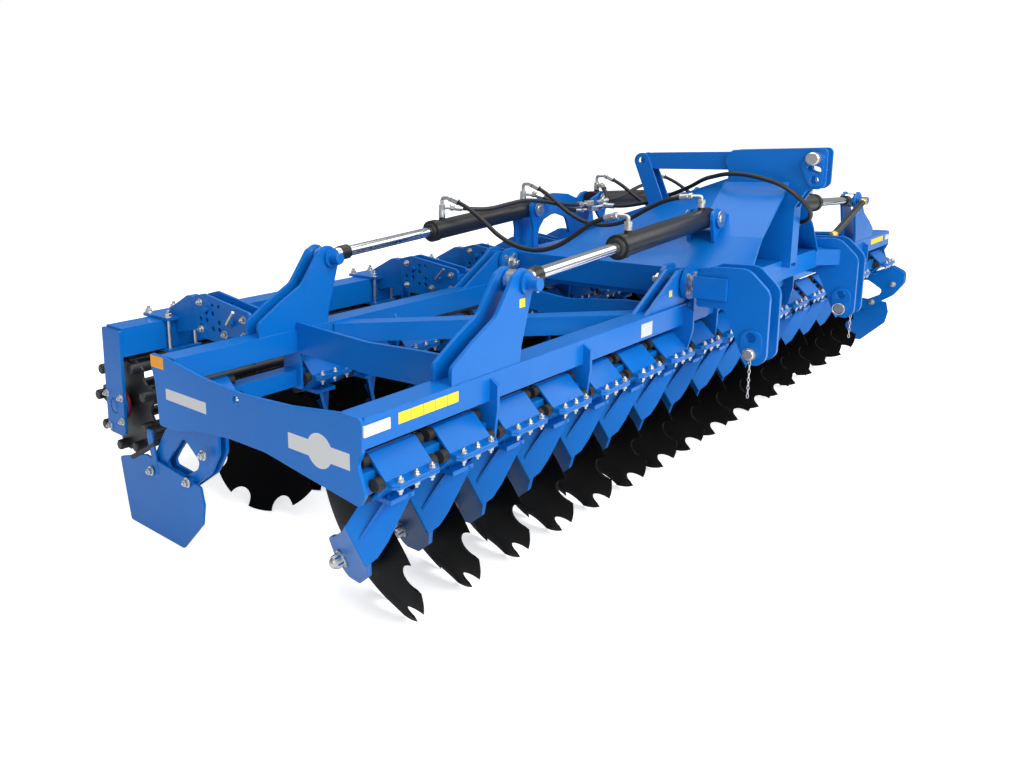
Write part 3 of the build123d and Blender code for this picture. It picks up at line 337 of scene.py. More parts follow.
WHITE = finish("white_lens", (0.72, 0.72, 0.74), 0.22, drift=0.04, peel=700, bump=0.2, coat=0.6)
SILVER = finish("silver_film", SILVER_COLOUR, 0.34, drift=0.05)


def in_range(nodes, links, value, low, high):
    """1 where the value lies between low and high."""
    above, below, both = (nodes.new("ShaderNodeMath") for _ in range(3))
    above.operation, below.operation, both.operation = "GREATER_THAN", "LESS_THAN", "MULTIPLY"
    links.new(value, above.inputs[0])
    above.inputs[1].default_value = low
    links.new(value, below.inputs[0])
    below.inputs[1].default_value = high
    links.new(above.outputs[0], both.inputs[0])
    links.new(below.outputs[0], both.inputs[1])
    return both.outputs[0]


def combine(nodes, links, kind, first, second):
    node = nodes.new("ShaderNodeMath")
    node.operation = kind
    links.new(first, node.inputs[0])
    if isinstance(second, float):
        node.inputs[1].default_value = second
    else:
        links.new(second, node.inputs[1])
    return node.outputs[0]


def end_film_group():
    """Masks on the end plate's outer face: two silver films, one with a round middle, and the lens."""
    group = bpy.data.node_groups.new("end_films", "ShaderNodeTree")
    socket(group, "Silver", "NodeSocketFloat", "OUTPUT")
    socket(group, "Lens", "NodeSocketFloat", "OUTPUT")
    n, l = group.nodes, group.links
    out, place, split = n.new("NodeGroupOutput"), n.new("ShaderNodeTexCoord"), n.new("ShaderNodeSeparateXYZ")
    l.new(place.outputs["Object"], split.inputs[0])
    x, y, z = split.outputs
    outside = in_range(n, l, x, -2.30, -2.2685)
    strips = None
    for y_from, y_to, z_low, z_high in ((684, 900, 581, 617), (80, 312, 575, 619)):
        strip = combine(n, l, "MULTIPLY", in_range(n, l, y, y_from * MM - MID_Y, y_to * MM - MID_Y),
                        in_range(n, l, z, z_low * MM, z_high * MM))
        strips = strip if strips is None else combine(n, l, "MAXIMUM", strips, strip)
    across = combine(n, l, "SUBTRACT", y, 0.190 - MID_Y)
    height = combine(n, l, "SUBTRACT", z, 0.598)
    reach = combine(n, l, "SQRT", combine(n, l, "ADD", combine(n, l, "POWER", across, 2.0),
                                          combine(n, l, "POWER", height, 2.0)), 0.0)
    disc = combine(n, l, "LESS_THAN", reach, 0.047)
    strips = combine(n, l, "MAXIMUM", strips, disc)
    l.new(combine(n, l, "MULTIPLY", outside, strips), out.inputs["Silver"])
    lens = combine(n, l, "MULTIPLY", in_range(n, l, y, 0.905 - MID_Y, 0.990 - MID_Y),
                   in_range(n, l, z, 0.675, 0.714))
    lens = combine(n, l, "MULTIPLY", lens, in_range(n, l, x, -2.30, -2.2575))
    l.new(lens, out.inputs["Lens"])
    return group


def add_films(material):
    """Lays the silver films and the amber lens over a paint material."""
    tree = material.node_tree
    n, l = tree.nodes, tree.links
    shader = next(node for node in n if node.type == "BSDF_PRINCIPLED")
    films = n.new("ShaderNodeGroup")
    films.node_tree = end_film_group()
    for mask, colour in (("Silver", SILVER_COLOUR), ("Lens", AMBER_COLOUR)):
        source = shader.inputs["Base Color"].links[0].from_socket
        mix = n.new("ShaderNodeMix")
        mix.data_type = "RGBA"
        l.new(films.outputs[mask], mix.inputs["Factor"])
        l.new(source, mix.inputs["A"])
        mix.inputs["B"].default_value = (*colour, 1)
        l.new(mix.outputs["Result"], shader.inputs["Base Color"])


BLUE_FILMS = blue_paint("harrow_blue_films")
add_films(BLUE_FILMS)


def dress_nodes():
    for name, piece in NODES.items():
        material = BLUE
        if name.startswith("disc_"):
            material = DISC
        elif name.startswith("rubbers"):
            material = RUBBER
        elif name.startswith("rods"):
            material = CHROME
        elif name.startswith("barrels"):
            material = BARREL
        elif name == "hitch_pins":
            material = ZINC
        elif name == "wing_frame_right":
            material = BLUE_FILMS
        elif name.startswith("roller_") and "frame" not in name:
            material = BLACK
        piece.data.materials.clear()
        piece.data.materials.append(material)


# ---------------------------------------------------------------- modelling helpers
def clear():
    if bpy.context.mode != "OBJECT":
        bpy.ops.object.mode_set(mode="OBJECT")
    bpy.ops.object.select_all(action="DESELECT")


def aim(place, axis, roll=0.0):
    """Turns +Z to the axis and moves to the place, in millimetres from the clamps' bolts."""
    turn = Vector(axis).to_track_quat("Z", "Y").to_matrix().to_4x4()
    return Matrix.Translation(spot(*place)) @ turn @ Matrix.Rotation(roll, 4, "Z")


def pick(piece, rule):
    """Selects just the faces whose middle and normal meet the rule."""
    bpy.ops.mesh.select_mode(type="FACE")
    bpy.ops.mesh.select_all(action="DESELECT")
    mesh = bmesh.from_edit_mesh(piece.data)
    mesh.normal_update()
    for face in mesh.faces:
        face.select_set(bool(rule(face.calc_center_median(), face.normal)))
    mesh.select_flush_mode()
    bmesh.update_edit_mesh(piece.data)


def dressed(piece, material):
    piece.data.materials.clear()
    piece.data.materials.append(material)
    return piece


def prism(sides, radius, low, high, chamfer=0.0):
    """A bar along Z with its top edge turned down, in millimetres."""
    clear()
    depth = (high - low) * MM
    bpy.ops.mesh.primitive_cylinder_add(vertices=sides, radius=radius * MM, depth=depth,
                                        location=(0, 0, (high + low) / 2 * MM))
    piece = bpy.context.object
    bpy.ops.object.transform_apply(location=True, rotation=False, scale=False)
    if chamfer:
        bpy.ops.object.mode_set(mode="EDIT")
        pick(piece, lambda middle, normal: normal.z > 0.9)
        bpy.ops.mesh.inset(thickness=chamfer * MM, depth=chamfer * 0.6 * MM)
        bpy.ops.object.mode_set(mode="OBJECT")
    return piece


def turned(profile, steps=24):
    """A turned piece: a profile of (radius, height) spun about Z, open or closed at the axis."""
    clear()
    mesh = bpy.data.meshes.new("turned")
    mesh.from_pydata([(r * MM, 0, h * MM) for r, h in profile],
                     [(i, i + 1) for i in range(len(profile) - 1)], [])
    piece = bpy.data.objects.new("turned", mesh)
    bpy.context.scene.collection.objects.link(piece)
    bpy.context.view_layer.objects.active = piece
    piece.select_set(True)
    bpy.ops.object.mode_set(mode="EDIT")
    bpy.ops.mesh.select_all(action="SELECT")
    bpy.ops.mesh.spin(steps=steps, angle=2 * pi, center=(0, 0, 0), axis=(0, 0, 1))
    bpy.ops.mesh.select_all(action="SELECT")
    bpy.ops.mesh.remove_doubles(threshold=0.00001)
    bpy.ops.mesh.normals_make_consistent(inside=False)
    bpy.ops.object.mode_set(mode="OBJECT")
    bpy.ops.object.shade_smooth_by_angle(angle=radians(35))
    return piece


def slab(corners, thick, rounding=1.0):
    """A flat plate from (u, v) corners on Z 0, raised by its thickness, with softened edges."""
    clear()
    mesh = bpy.data.meshes.new("slab")
    mesh.from_pydata([(u * MM, v * MM, 0) for u, v in corners], [], [range(len(corners))])
    piece = bpy.data.objects.new("slab", mesh)
    bpy.context.scene.collection.objects.link(piece)
    bpy.context.view_layer.objects.active = piece
    piece.select_set(True)
    bpy.ops.object.mode_set(mode="EDIT")
    bpy.ops.mesh.select_all(action="SELECT")
    bpy.ops.mesh.extrude_region_move(TRANSFORM_OT_translate={"value": (0, 0, thick * MM)})
    bpy.ops.mesh.select_all(action="SELECT")
    bpy.ops.mesh.normals_make_consistent(inside=False)
    bpy.ops.object.mode_set(mode="OBJECT")
    if rounding:
        soften(piece, rounding)
    return piece


def soften(piece, width, segments=2):
    bpy.context.view_layer.objects.active = piece
    bevel = piece.modifiers.new("edges", "BEVEL")
    bevel.width = width * MM
    bevel.segments = segments
    bevel.limit_method = "ANGLE"
    bpy.ops.object.modifier_apply(modifier=bevel.name)
    return piece


def pipe(points, radius, smooth=True):
    """A round bent rod through points in millimetres from the clamps' bolts."""
    clear()
    data = bpy.data.curves.new("pipe", "CURVE")
    data.dimensions = "3D"
    data.bevel_depth = radius * MM
    data.bevel_resolution = 3
    data.resolution_u = 6
    data.use_fill_caps = True
    line = data.splines.new("NURBS" if smooth else "POLY")
    line.points.add(len(points) - 1)
    for point, place in zip(line.points, points):
        point.co = (*spot(*place), 1)
    if smooth:
        line.order_u = 3
        line.use_endpoint_u = True
    piece = bpy.data.objects.new("pipe", data)
    bpy.context.scene.collection.objects.link(piece)
    bpy.context.view_layer.objects.active = piece
    piece.select_set(True)
    bpy.ops.object.convert(target="MESH")
    bpy.ops.object.shade_smooth_by_angle(angle=radians(40))
    return bpy.context.object


def put(piece, matrix):
    piece.data.transform(matrix)
    return piece


def copy_of(piece, matrix):
    """A copy with its own mesh, moved by the matrix."""
    twin = piece.copy()
    twin.data = piece.data.copy()
    bpy.context.scene.collection.objects.link(twin)
    twin.data.transform(matrix)
    return twin


def joined(pieces, name):
    clear()
    for piece in pieces:
        piece.select_set(True)
    bpy.context.view_layer.objects.active = pieces[0]
    bpy.ops.object.join()
    pieces[0].name = pieces[0].data.name = name
    return pieces[0]


def fixed(pieces, name, body):
    """One named piece on a body, joined from its dressed parts."""
    piece = joined(pieces, name) if isinstance(pieces, list) else joined([pieces], name)
    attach(piece, body)
    return piece


def discard(piece):
    bpy.data.objects.remove(piece, do_unlink=True)


def mirrored(piece):
    """The piece's twin on the machine's other side, faces outwards."""
    twin = copy_of(piece, Matrix.Scale(-1, 4, (1, 0, 0)))
    twin.data.flip_normals()
    return twin


# ---------------------------------------------------------------- bolts
def hex_head(across, height, stud=0.0, washer=True):
    """A nut or bolt head on Z 0, on its washer, with the stud's end standing out of it."""
    pieces = [dressed(prism(6, across / sqrt(3), 0, height, across * 0.09), ZINC)]
    if washer:
        pieces.append(dressed(prism(16, across * 0.78, -0.5, across * 0.12, across * 0.04), ZINC))
    if stud:
        pieces.append(dressed(prism(10, across * 0.29, height - 2, height + stud, across * 0.08), ZINC))
    return joined(pieces, "hex")


def stations():
    """Clamp number, X, Y of its row and body, deflectors' clamps included."""
    for row, row_y in (("front", 0.0), ("rear", ROW)):
        for number in range(STATIONS):
            if row == "front" and number == 16 or row == "rear" and number == 1:
                continue
            body = "centre" if 7 <= number < 11 else ("wing_right" if number < 7 else "wing_left")
            yield row, number, FIRST_STATION + PITCH * number, row_y, body


def clamp_bolts():
    head = hex_head(15, 9, 5)
    foot = hex_head(15, 11, 8)
    pieces = []
    for y in (-9, 2 * BAR_MIDDLE + 1):
        for x in (-60, 0, 60):
            pieces.append(copy_of(head, aim((x, y, CLAMP_Z + 8), (0, 0, 1), x)))
            pieces.append(copy_of(foot, aim((x, y, CLAMP_Z - 8), (0, 0, -1), y + x)))
    discard(head)
    discard(foot)
    model = joined(pieces, "clamp_bolts")
    for row, number, x, row_y, body in stations():
        fixed(copy_of(model, Matrix.Translation((x * MM, row_y * MM, 0))), f"clamp_bolts_{row}_{number:02d}",
              body)
    discard(model)


def disc_frame(side):
    """Axis of a disc's drum, and its place beside a clamp at 0, 0."""
    yaw, camber = radians(17.5), radians(19.0)
    axis = Vector((side * cos(yaw) * cos(camber), -sin(yaw) * cos(camber), sin(camber)))
    corner = (255.0 ** 2 + 251.0 ** 2 - 46.0 ** 2) / (2 * 255.0 * 251.0) if side > 0 else 1.0
    return axis, Vector((side * 102.0, 257.0, 255.0 * cos(camber) * corner))


def hub_pieces():
    """Dome nut with washer outside each arm, and the ring of bolts inside each dish."""
    dome = dressed(turned([(0, 38), (7, 37), (13, 33), (17, 27), (18, 21), (0, 21)]), ZINC)
    washer = dressed(turned([(0, 1.5), (26, 1.5), (27.5, 0), (27.5, -4.5), (0, -4.5)]), ZINC)
    dome = joined([dome, washer, dressed(prism(6, 22.4, 1, 22, 2.0), ZINC)], "hub_nut")
    small = hex_head(13, 8)
    ring = [copy_of(small, Matrix.Rotation(2 * pi * i / 5, 4, "Z") @ Matrix.Translation((0.040, 0, 0)))
            for i in range(5)]
    cap = dressed(turned([(0, 16), (20, 15), (26, 11), (28, 5), (28, -2), (0, -2)]), DISC)
    dish = joined(ring + [cap], "dish_bolts")
    discard(small)
    for row, number, x, row_y, body in stations():
        if row == "front" and number > 15 or row == "rear" and number < 2:
            continue
        side = 1 if row == "front" else -1
        axis, centre = disc_frame(side)
        base = centre + Vector((x, row_y, 0))
        outer = base - axis * (48 + 27 + 7 + 14 + 5)
        fixed(copy_of(dome, aim(outer, -axis)), f"hub_nut_{row}_{number:02d}", body)
        disc = f"disc_{row}_{number + 1 if side > 0 else number - 1:02d}"
        fixed(copy_of(dish, aim(base + axis * -34, axis)), f"dish_bolts_{row}_{number:02d}",
              disc)
    discard(dome)
    discard(dish)


# ---------------------------------------------------------------- hydraulics
HOSE_D = 0.018
# routes of the right side's hoses, as the hoses' own solids run
SIDE_HOSES = (
    ((-911, 846, 1108), (-911, 780, 1086), (-911, 690, 1030), (-911, 600, 962), (-911, 470, 925),
     (-911, 360, 948), (-911, 270, 1010), (-911, 200, 1062), (-911, 134, 1078)),
    ((-870, 869, 1070), (-820, 832, 1062), (-740, 790, 1056), (-650, 765, 1070), (-540, 745, 1082),
     (-420, 738, 1068), (-300, 724, 1046), (-190, 722, 1034), (-100, 738, 1028)),
    ((-335, 841, 1128), (-335, 776, 1100), (-335, 700, 1042), (-335, 630, 998), (-335, 560, 972),
     (-335, 470, 968), (-335, 390, 990), (-335, 310, 1040), (-335, 240, 1078), (-335, 180, 1098),
     (-335, 127, 1104)),
    ((-300, 850, 1083), (-262, 812, 1066), (-215, 775, 1030), (-160, 752, 1006), (-100, 742, 1000)),
)
SUPPLY_HOSE = (
    (60, 690, 1012), (66, 630, 1010), (72, 550, 1022), (76, 460, 1045), (76, 375, 1080), (72, 300, 1112),
    (44, 244, 1142), (-6, 196, 1157), (-60, 152, 1166), (-90, 84, 1182), (-96, 10, 1182), (-98, -62, 1166),
    (-98, -128, 1146), (-80, -178, 1108), (-34, -208, 1062), (14, -212, 1024), (58, -192, 996),
    (92, -156, 980), (111, -110, 972),
)
HOSE_LENGTHS = (0.795, 0.804, 0.785, 0.250)


def hose(name, route, body, node, far_body=None):
    """A hose on one body, or, when a far body is given, a mesh left on no body."""
    data = bpy.data.curves.new(name, "CURVE")
    data.dimensions = "3D"
    data.bevel_depth = HOSE_D / 2
    data.bevel_resolution = 4
    data.resolution_u = 8
    data.use_fill_caps = True
    line = data.splines.new("NURBS")
    line.points.add(len(route) - 1)
    for point, place in zip(line.points, route):
        point.co = (*spot(*place), 1)
    line.order_u = 3
    line.use_endpoint_u = True
    piece = bpy.data.objects.new(name, data)
    bpy.context.scene.collection.objects.link(piece)
    piece.data.materials.append(HOSE)
    if far_body:
        line_only = piece.copy()
        line_only.data = data.copy()
        line_only.data.bevel_depth = 0
        bpy.context.scene.collection.objects.link(line_only)
        line_only = as_mesh(line_only)
        discard(line_only)
        piece = as_mesh(piece)
        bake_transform(piece)
    else:
        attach(piece, body)
    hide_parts(node)


def as_mesh(piece):
    clear()
    bpy.context.view_layer.objects.active = piece
    piece.select_set(True)
    bpy.ops.object.convert(target="MESH")
    bpy.ops.object.shade_smooth_by_angle(angle=radians(40))
    return bpy.context.object


def crimp(end, before):
    """Pressed sleeve over a hose's end, with the nut it is screwed on by."""
    way = Vector(end) - Vector(before)
    sleeve = turned([(9.4, -34), (12.2, -34), (12.6, -30), (11.6, -26), (12.6, -21), (11.6, -16),
                     (12.6, -11), (11.6, -6), (12.4, 0), (9, 3), (0, 3)], 20)
    nut = prism(6, 14, 3, 16, 1.4)
    return put(dressed(joined([sleeve, nut], "crimp"), ZINC), aim(end, way))


def elbow(start, corner, foot):
    """Bent tube from a hose's nut down into the port's adaptor."""
    near = Vector(corner).lerp(Vector(start), 0.55)
    far = Vector(corner).lerp(Vector(foot), 0.45)
    tube = dressed(pipe([start, near, corner, far, foot], 7.5), ZINC)
    base = Vector(foot)
    nut = put(dressed(prism(6, 15, 0, 15, 1.5), ZINC), aim(base, (0, 0, 1)))
    collar = put(dressed(prism(20, 14, -14, 0, 1.0), ZINC), aim(base, (0, 0, 1)))
    return [tube, nut, collar]


def fittings():
    """Crimps, elbows and tees of the right side's four hoses, mirrored to the left."""
    rods, bases = -912.1, -328.9
    rod_top, base_top = 1039.0, 1070.0
    pieces = []
    front, rear = CYLINDERS_Y
    for row_y, rod_z, base_z, back in ((front, 1078.0, 1104.0, 1), (rear, 1108.0, 1128.0, -1)):
        ends = ((rods, rod_z, rod_top, SIDE_HOSES[0]), (bases, base_z, base_top, SIDE_HOSES[2]))
        for x, z, top, route in ends:
            end, before = (route[0], route[1]) if back < 0 else (route[-1], route[-2])
            nut_end = Vector(end) + (Vector(end) - Vector(before)).normalized() * 14
            corner = (x, row_y, z + 2 if back > 0 else z + 4)
            pieces += [crimp(end, before), *elbow(tuple(nut_end), corner, (x, row_y, top + 8))]
    for route, x, z in ((SIDE_HOSES[1], rods, 1072.0), (SIDE_HOSES[3], bases, 1087.0)):
        pieces.append(crimp(route[0], route[1]))
        pieces.append(dressed(pipe([route[0], (x, rear, z)], 7.5, smooth=False), ZINC))
        pieces.append(put(dressed(prism(12, 13, -12, 12, 2.0), ZINC), aim((x, rear, z), (0, 0, 1))))
    right = fixed(pieces, "fittings_right", "barrels_right")
    left = mirrored(right)
    fixed(left, "fittings_left", "barrels_left")


def manifold():
    """Two cross pieces where the hoses meet over the ridge, on a strap, with the supply hose's ends."""
    pieces = []
    for x, z in ((-22, 1028), (22, 1000)):
        body = slab([(-30, -11), (30, -11), (30, 11), (-30, 11)], 24, 2.5)
        pieces.append(put(dressed(body, ZINC), aim((x, MANIFOLD_Y, z - 12), (0, 0, 1))))
    for side in (-1, 1):
        for route in (SIDE_HOSES[1], SIDE_HOSES[3]):
            last, before = Vector(route[-1]), Vector(route[-2])
            last.x, before.x = -side * last.x, -side * before.x
            pieces.append(crimp(tuple(last), tuple(before)))
            pieces.append(dressed(pipe([last, (side * 48, MANIFOLD_Y, last.z)], 8, smooth=False), ZINC))
    pieces.append(crimp(SUPPLY_HOSE[0], SUPPLY_HOSE[1]))
    pieces.append(dressed(pipe([SUPPLY_HOSE[0], (50, 716, 1010), (40, 738, 1003)], 8), ZINC))
    pieces.append(crimp(SUPPLY_HOSE[-1], SUPPLY_HOSE[-2]))
    coupler = turned([(0, 62), (9, 62), (12, 58), (12, 40), (15, 38), (15, 18), (12, 14), (12, 0),
                      (0, 0)], 20)
    way = Vector(SUPPLY_HOSE[-1]) - Vector(SUPPLY_HOSE[-2])
    pieces.append(put(dressed(coupler, ZINC), aim(Vector(SUPPLY_HOSE[-1]) + way.normalized() * 14, way)))
    fixed(pieces, "manifold", "centre")
    strap = slab([(-30, 0), (30, 0), (30, 4), (12, 72), (-12, 72), (-30, 4)], 6, 1.0)
    put(strap, Matrix.Translation(spot(0, MANIFOLD_Y + 3, 918)) @ Matrix.Rotation(pi / 2, 4, "X"))
    fixed(dressed(strap, BLUE), "manifold_strap", "centre")


def hoses():
    for i, (route, length) in enumerate(zip(SIDE_HOSES, HOSE_LENGTHS)):
        far_body = "centre" if i % 2 else None
        hose(f"hose_right_{i + 1}", route, "barrels_right", "hoses_right", far_body)
        other = [(-x, y, z) for x, y, z in route]
        hose(f"hose_left_{i + 1}", other, "barrels_left", "hoses_left", far_body)
    hose("hose_supply", SUPPLY_HOSE, "centre", "hoses_centre")


# ---------------------------------------------------------------- cylinders and their pins
def cylinder_trims():
    """Wiper nose at each barrel's mouth, stop sleeve at the rod's eye, washers on the base pin."""
    base, rod_pin = Vector((-BASE_PIN[0], 0, BASE_PIN[1])), Vector((-ROD_PIN[0], 0, ROD_PIN[1]))
    way = (rod_pin - base).normalized()
    for body_end, sign in WINGS:
        barrel_parts, rod_parts, ear_parts = [], [], []
        for y in CYLINDERS_Y:
            mouth = base + way * 696 + Vector((0, y, 0))
            nose = turned([(20.6, -4), (33, -4), (33, 3), (28, 9), (24, 11), (20.6, 11)], 32)
            barrel_parts.append(put(dressed(nose, PLASTIC), aim(mouth, way)))
            sleeve = turned([(20.5, 0), (27, 0), (27, 40), (24, 44), (20.5, 44)], 32)
            start = rod_pin - way * 118 + Vector((0, y, 0))
            rod_parts.append(put(dressed(sleeve, BARREL), aim(start, way)))
            for low, toward in ((y - 66, -1), (y + 66, 1)):
                washer = turned([(0, 4), (12, 4), (18, 2), (20, 0), (34, 0), (34, -3), (0, -3)], 28)
                ear_parts.append(put(dressed(washer, ZINC), aim(base + Vector((0, low, 0)), (0, toward, 0))))
        for parts, name, body, slot_name in (
            (barrel_parts, f"barrel_mouths_{body_end}", f"barrels_{body_end}", "black_paint"),
            (rod_parts, f"stop_sleeves_{body_end}", f"rods_{body_end}", "black_paint"),
            (ear_parts, f"base_pin_ends_{body_end}", f"barrels_{body_end}", "zinc_plate"),
        ):
            piece = joined(parts, name)
            if sign > 0:
                twin = mirrored(piece)
                discard(piece)
                piece = twin
            fixed(piece, name, body)


def wing_pins():
    """Blue ends of the rod pins with their cotter bolts, nuts and cotters of the folding pins."""
    rod_x, rod_z = ROD_PIN
    fold_x, fold_z = FOLD_PIN
    for wing, sign in WINGS:
        parts = []
        for y in (29.0, 849.0):
            pin = turned([(0, -38), (17, -38), (19.5, -36), (19.5, 2), (34, 2), (34, 9), (0, 9)], 28)
            parts.append(put(dressed(pin, BLUE), aim((sign * rod_x, y, rod_z), (0, 1, 0))))
            cotter = [(sign * rod_x, y - 28, rod_z + rise) for rise in (-23, 23)]
            parts.append(dressed(pipe(cotter, 4, smooth=False), ZINC))
        fixed(parts, f"rod_pin_ends_{wing}", f"wing_{wing}")
        parts = []
        for y in (38.0, 858.0):
            nut = hex_head(42, 20, 14)
            put(nut, aim((sign * fold_x, y - 22, fold_z), (0, -1, 0)))
            rear = hex_head(42, 20, 14)
            put(rear, aim((sign * fold_x, y + 104, fold_z), (0, 1, 0)))
            parts += [nut, rear]
            for low in (y - 45, y + 127):
                x = sign * fold_x
                bent = [(x - 22, low, fold_z - 6), (x, low, fold_z), (x + 24, low, fold_z + 9)]
                parts.append(dressed(pipe(bent, 2.2), ZINC))
            for k in range(4):
                turn = pi / 4 + k * pi / 2
                small = hex_head(12, 7)
                place = (sign * fold_x + 44 * cos(turn), y - 12.5, fold_z + 44 * sin(turn))
                parts.append(put(small, aim(place, (0, -1, 0))))
        fixed(parts, f"folding_pin_nuts_{wing}", "centre")


# ---------------------------------------------------------------- films, lenses and plates
def front_beam_marks():
    """Lens and five blank yellow fields on each front beam, yellow squares, and one blank grey plate."""
    for wing, sign in WINGS:
        def film(corners, thick, material, name, y=BEAM_FACE_Y):
            xs = [sign * x for x, _ in corners]
            outline = list(zip(xs, [z for _, z in corners]))
            if sign > 0:
                outline.reverse()
            piece = slab([(u, v) for u, v in outline], thick, min(1.0, thick / 3))
            put(piece, Matrix.Translation(spot(0, y, 0)) @ Matrix.Rotation(pi / 2, 4, "X"))
            return fixed(dressed(piece, material), f"{name}_{wing}", f"wing_{wing}")

        def field(x_from, x_to, z_from, z_to):
            return [(x_from, z_from), (x_to, z_from), (x_to, z_to), (x_from, z_to)]

        film(field(2172, 2266, 670, 699), 6, WHITE, "white_lens")
        for i in range(5):
            start = 1897 + i * 48.5
            film(field(start, start + 47, 670, 700), 0.6, YELLOW, f"yellow_field_{i + 1}")
        film(field(1584, 1612, 880, 906), 0.6, YELLOW, "yellow_square_clevis", y=41.0)
        film(field(613, 638, 758, 782), 0.6, YELLOW, "yellow_square_lug", y=48.0)
    plate = slab([(-866, 648), (-783, 648), (-783, 697), (-866, 697)], 1.2, 0.4)
    put(plate, Matrix.Translation(spot(0, BEAM_FACE_Y, 0)) @ Matrix.Rotation(pi / 2, 4, "X"))
    fixed(dressed(plate, SILVER), "blank_data_plate", "wing_right")


# ---------------------------------------------------------------- hitch
def hitch_trims():
    """Linch pins with rings and chains on the lower pins, nut and retainer on the top pin."""
    parts = []
    pin_y, pin_z = LOWER_PIN
    top_y, top_z = TOP_PIN
    for sign in (-1, 1):
        end = sign * 583
        head = turned([(0, 8), (16, 8), (18.5, 5), (18.5, 0), (0, 0)], 28)
        parts.append(put(dressed(head, ZINC), aim((end, pin_y, pin_z), (sign, 0, 0))))
        inner = sign * 415
        ring = [(inner, pin_y + 24 * cos(t * pi / 8), pin_z + 24 * sin(t * pi / 8)) for t in range(17)]
        parts.append(dressed(pipe(ring, 2.5), ZINC))
        for i in range(9):
            z = 545 - i * 15
            wide = [4 * cos(t * pi / 4) for t in range(9)]
            link = [(end + (wide[t] if i % 2 else 0), pin_y - 6 + (0 if i % 2 else wide[t]),
                     z + 9 * sin(t * pi / 4)) for t in range(9)]
            parts.append(dressed(pipe(link, 1.6), ZINC))
    head = turned([(0, 10), (21, 10), (25, 6), (25, 0), (0, 0)], 28)
    parts.append(put(dressed(head, ZINC), aim((-74, top_y, top_z), (-1, 0, 0))))
    retainer = [(60, top_y, top_z - 27), (60, top_y, top_z + 26), (60, top_y + 18, top_z + 34)]
    parts.append(dressed(pipe(retainer, 4), ZINC))
    fixed(parts, "hitch_pin_trims", "centre")


# ---------------------------------------------------------------- roller details
ROLLER_ARMS = (("right", (-1860, -720)), ("left", (1860, 720)), ("centre", (-250, 250)))
ROLLER_SIDES = (("right", (-2125, -560)), ("left", (2125, 560)), ("centre", (-520, 520)))


def roller_trims():
    """Bolts of the arms' hole plates and beam clamps, lever pins, bearings with their bolts, tube caps."""
    stud = hex_head(24, 14, 12)
    small = hex_head(19, 11, 7)
    for section, places in ROLLER_ARMS:
        body = "centre" if section == "centre" else f"wing_{section}"
        parts = []
        for x in places:
            for side in (-1, 1):
                for y, z in ((975, 700), (975, 760), (1232, 690), (1232, 790), (1085, 690)):
                    parts.append(copy_of(small, aim((x + side * 37, y, z), (side, 0, 0), y)))
            for dx in (-58, 58):
                for y in (ROLLER_BEAM_Y - 70, ROLLER_BEAM_Y + 70):
                    parts.append(copy_of(stud, aim((x + dx, y, 710), (0, 0, 1), dx + y)))
                    rod = prism(10, 7.5, 0, 128, 1.5)
                    parts.append(put(dressed(rod, ZINC), aim((x + dx, y, 710), (0, 0, -1))))
                    parts.append(copy_of(stud, aim((x + dx, y, 575), (0, 0, -1), dx)))
            parts.append(dressed(pipe([(x - 52, 1040, 738), (x - 66, 1040, 738), (x - 70, 1030, 744),
                                       (x - 70, 990, 790)], 6), ZINC))
        fixed(parts, f"roller_arm_bolts_{section}", body)
        straps = []
        for x in places:
            bar = slab([(-75, -85), (75, -85), (75, 85), (-75, 85)], 12, 2.0)
            straps.append(put(dressed(bar, BLUE), aim((x, ROLLER_BEAM_Y, 575), (0, 0, 1))))
        fixed(straps, f"roller_clamp_plates_{section}", body)
    axis_y, axis_z = ROLLER_AXIS
    for section, ends in ROLLER_SIDES:
        body = "centre" if section == "centre" else f"wing_{section}"
        low, high = sorted(ends)
        bolts, bearings, covers, caps = [], [], [], []
        for face, out in ((low, -1), (high, 1)):
            for dy, dz in ((-52, -52), (52, 40), (-52, 40), (44, -88)):
                z = axis_z + dz
                bolts.append(copy_of(small, aim((face, axis_y + dy, z), (out, 0, 0), z)))
            ring = turned([(19, 0), (58, 0), (62, 4), (62, 14), (50, 20), (34, 26), (19, 26)], 32)
            bearings.append(put(dressed(ring, RED), aim((face - out * 22, axis_y, axis_z), (-out, 0, 0))))
            cover = turned([(0, 5), (25, 5), (29, 3), (29, 0), (0, 0)])
            covers.append(put(dressed(cover, BLUE), aim((face - out * 5.5, axis_y, axis_z), (out, 0, 0))))
            for i in range(ROLLER_TUBES):
                turn = 2 * pi * i / ROLLER_TUBES
                cap = turned([(0, 6), (15, 6), (19, 3), (19.8, 1), (19.8, -2), (0, -2)], 20)
                place = (face - out * 27, axis_y + ROLLER_PITCH_R * cos(turn),
                         axis_z + ROLLER_PITCH_R * sin(turn))
                caps.append(put(dressed(cap, PLASTIC), aim(place, (out, 0, 0))))
        fixed(bolts, f"roller_side_bolts_{section}", body)
        fixed(bearings, f"roller_bearings_{section}", body)
        fixed(covers, f"roller_side_covers_{section}", body)
        fixed(caps, f"roller_tube_caps_{section}", f"roller_{section}")
    discard(stud)
    discard(small)


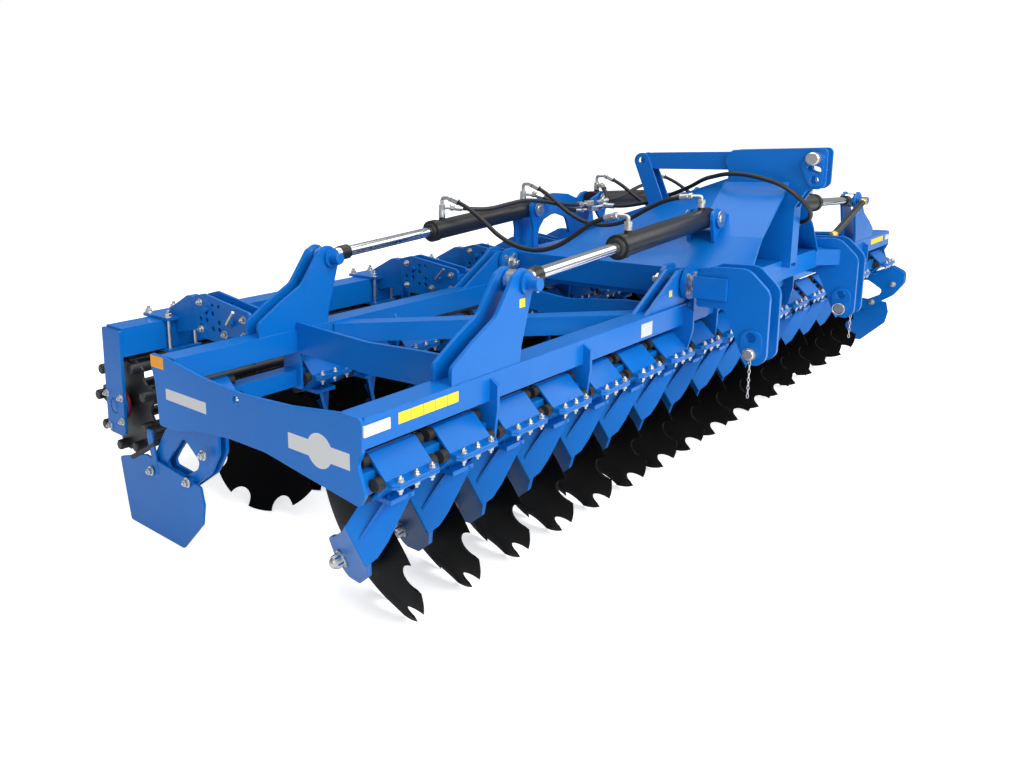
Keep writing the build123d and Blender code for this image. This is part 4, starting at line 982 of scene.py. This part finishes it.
# ---------------------------------------------------------------- deflectors
def deflector_trims():
    """Bolts of the deflectors' plates and brackets, the flat stay and the round strut behind it."""
    stay = slab([(0, 0), (24, 0), (60, 120), (60, 150), (28, 150)], 8, 1.5)
    for wing, sign, row_y in (("right", -1, ROW), ("left", 1, 0.0)):
        x = -sign * FIRST_STATION
        parts = []
        for y, z in ((-30, 410), (70, 290), (290, 268)):
            for face, out in ((94, 1), (34, -1)):
                place = (x + sign * face, row_y + y, z)
                parts.append(put(hex_head(22, 13, 6), aim(place, (sign * out, 0, 0), y)))
        fixed(parts, f"deflector_bolts_{wing}", f"wing_{wing}")
        matrix = Matrix.Translation(spot(x + sign * (98 if sign > 0 else 90), row_y + 250, 262))
        matrix = matrix @ Matrix.Rotation(pi / 2, 4, "Z") @ Matrix.Rotation(pi / 2, 4, "X")
        plate = dressed(copy_of(stay, matrix), BLUE)
        fixed(plate, f"deflector_stay_{wing}", f"wing_{wing}")
        rod = [(x + sign * 84, row_y + 262, 372), (x + sign * 84, row_y + 330, 330),
               (x + sign * 86, row_y + 420, 282)]
        fixed(dressed(pipe(rod, 9), HOSE), f"deflector_strut_{wing}", f"wing_{wing}")
    discard(stay)


# ---------------------------------------------------------------- screw stay behind the hitch
def turnbuckle():
    """Black screw stay with brass eyes, from the left wing's clevis towards the hitch."""
    start, end = Vector((1100, 6, 817)), Vector((1540, 6, 944))
    way, tube_long = (end - start).normalized(), (end - start).length
    tube = turned([(0, 0), (9, 0), (14, 6), (16, 14), (16, tube_long - 14), (14, tube_long - 6),
                   (9, tube_long), (0, tube_long)], 24)
    ball = turned([(0, 22), (8, 20), (17, 12), (20, 0), (17, -12), (8, -20), (0, -22)], 24)
    parts = [put(dressed(tube, BARREL), aim(start, way)),
             put(dressed(copy_of(ball, Matrix.Identity(4)), BRASS), aim(start - way * 8, way)),
             put(dressed(ball, BRASS), aim(start + way * (tube_long + 8), way))]
    fixed(parts, "screw_stay", "wing_left")


add_camera()
add_studio()
dress_nodes()
clamp_bolts()
hub_pieces()
hoses()
fittings()
manifold()
cylinder_trims()
wing_pins()
front_beam_marks()
hitch_trims()
roller_trims()
deflector_trims()
turnbuckle()
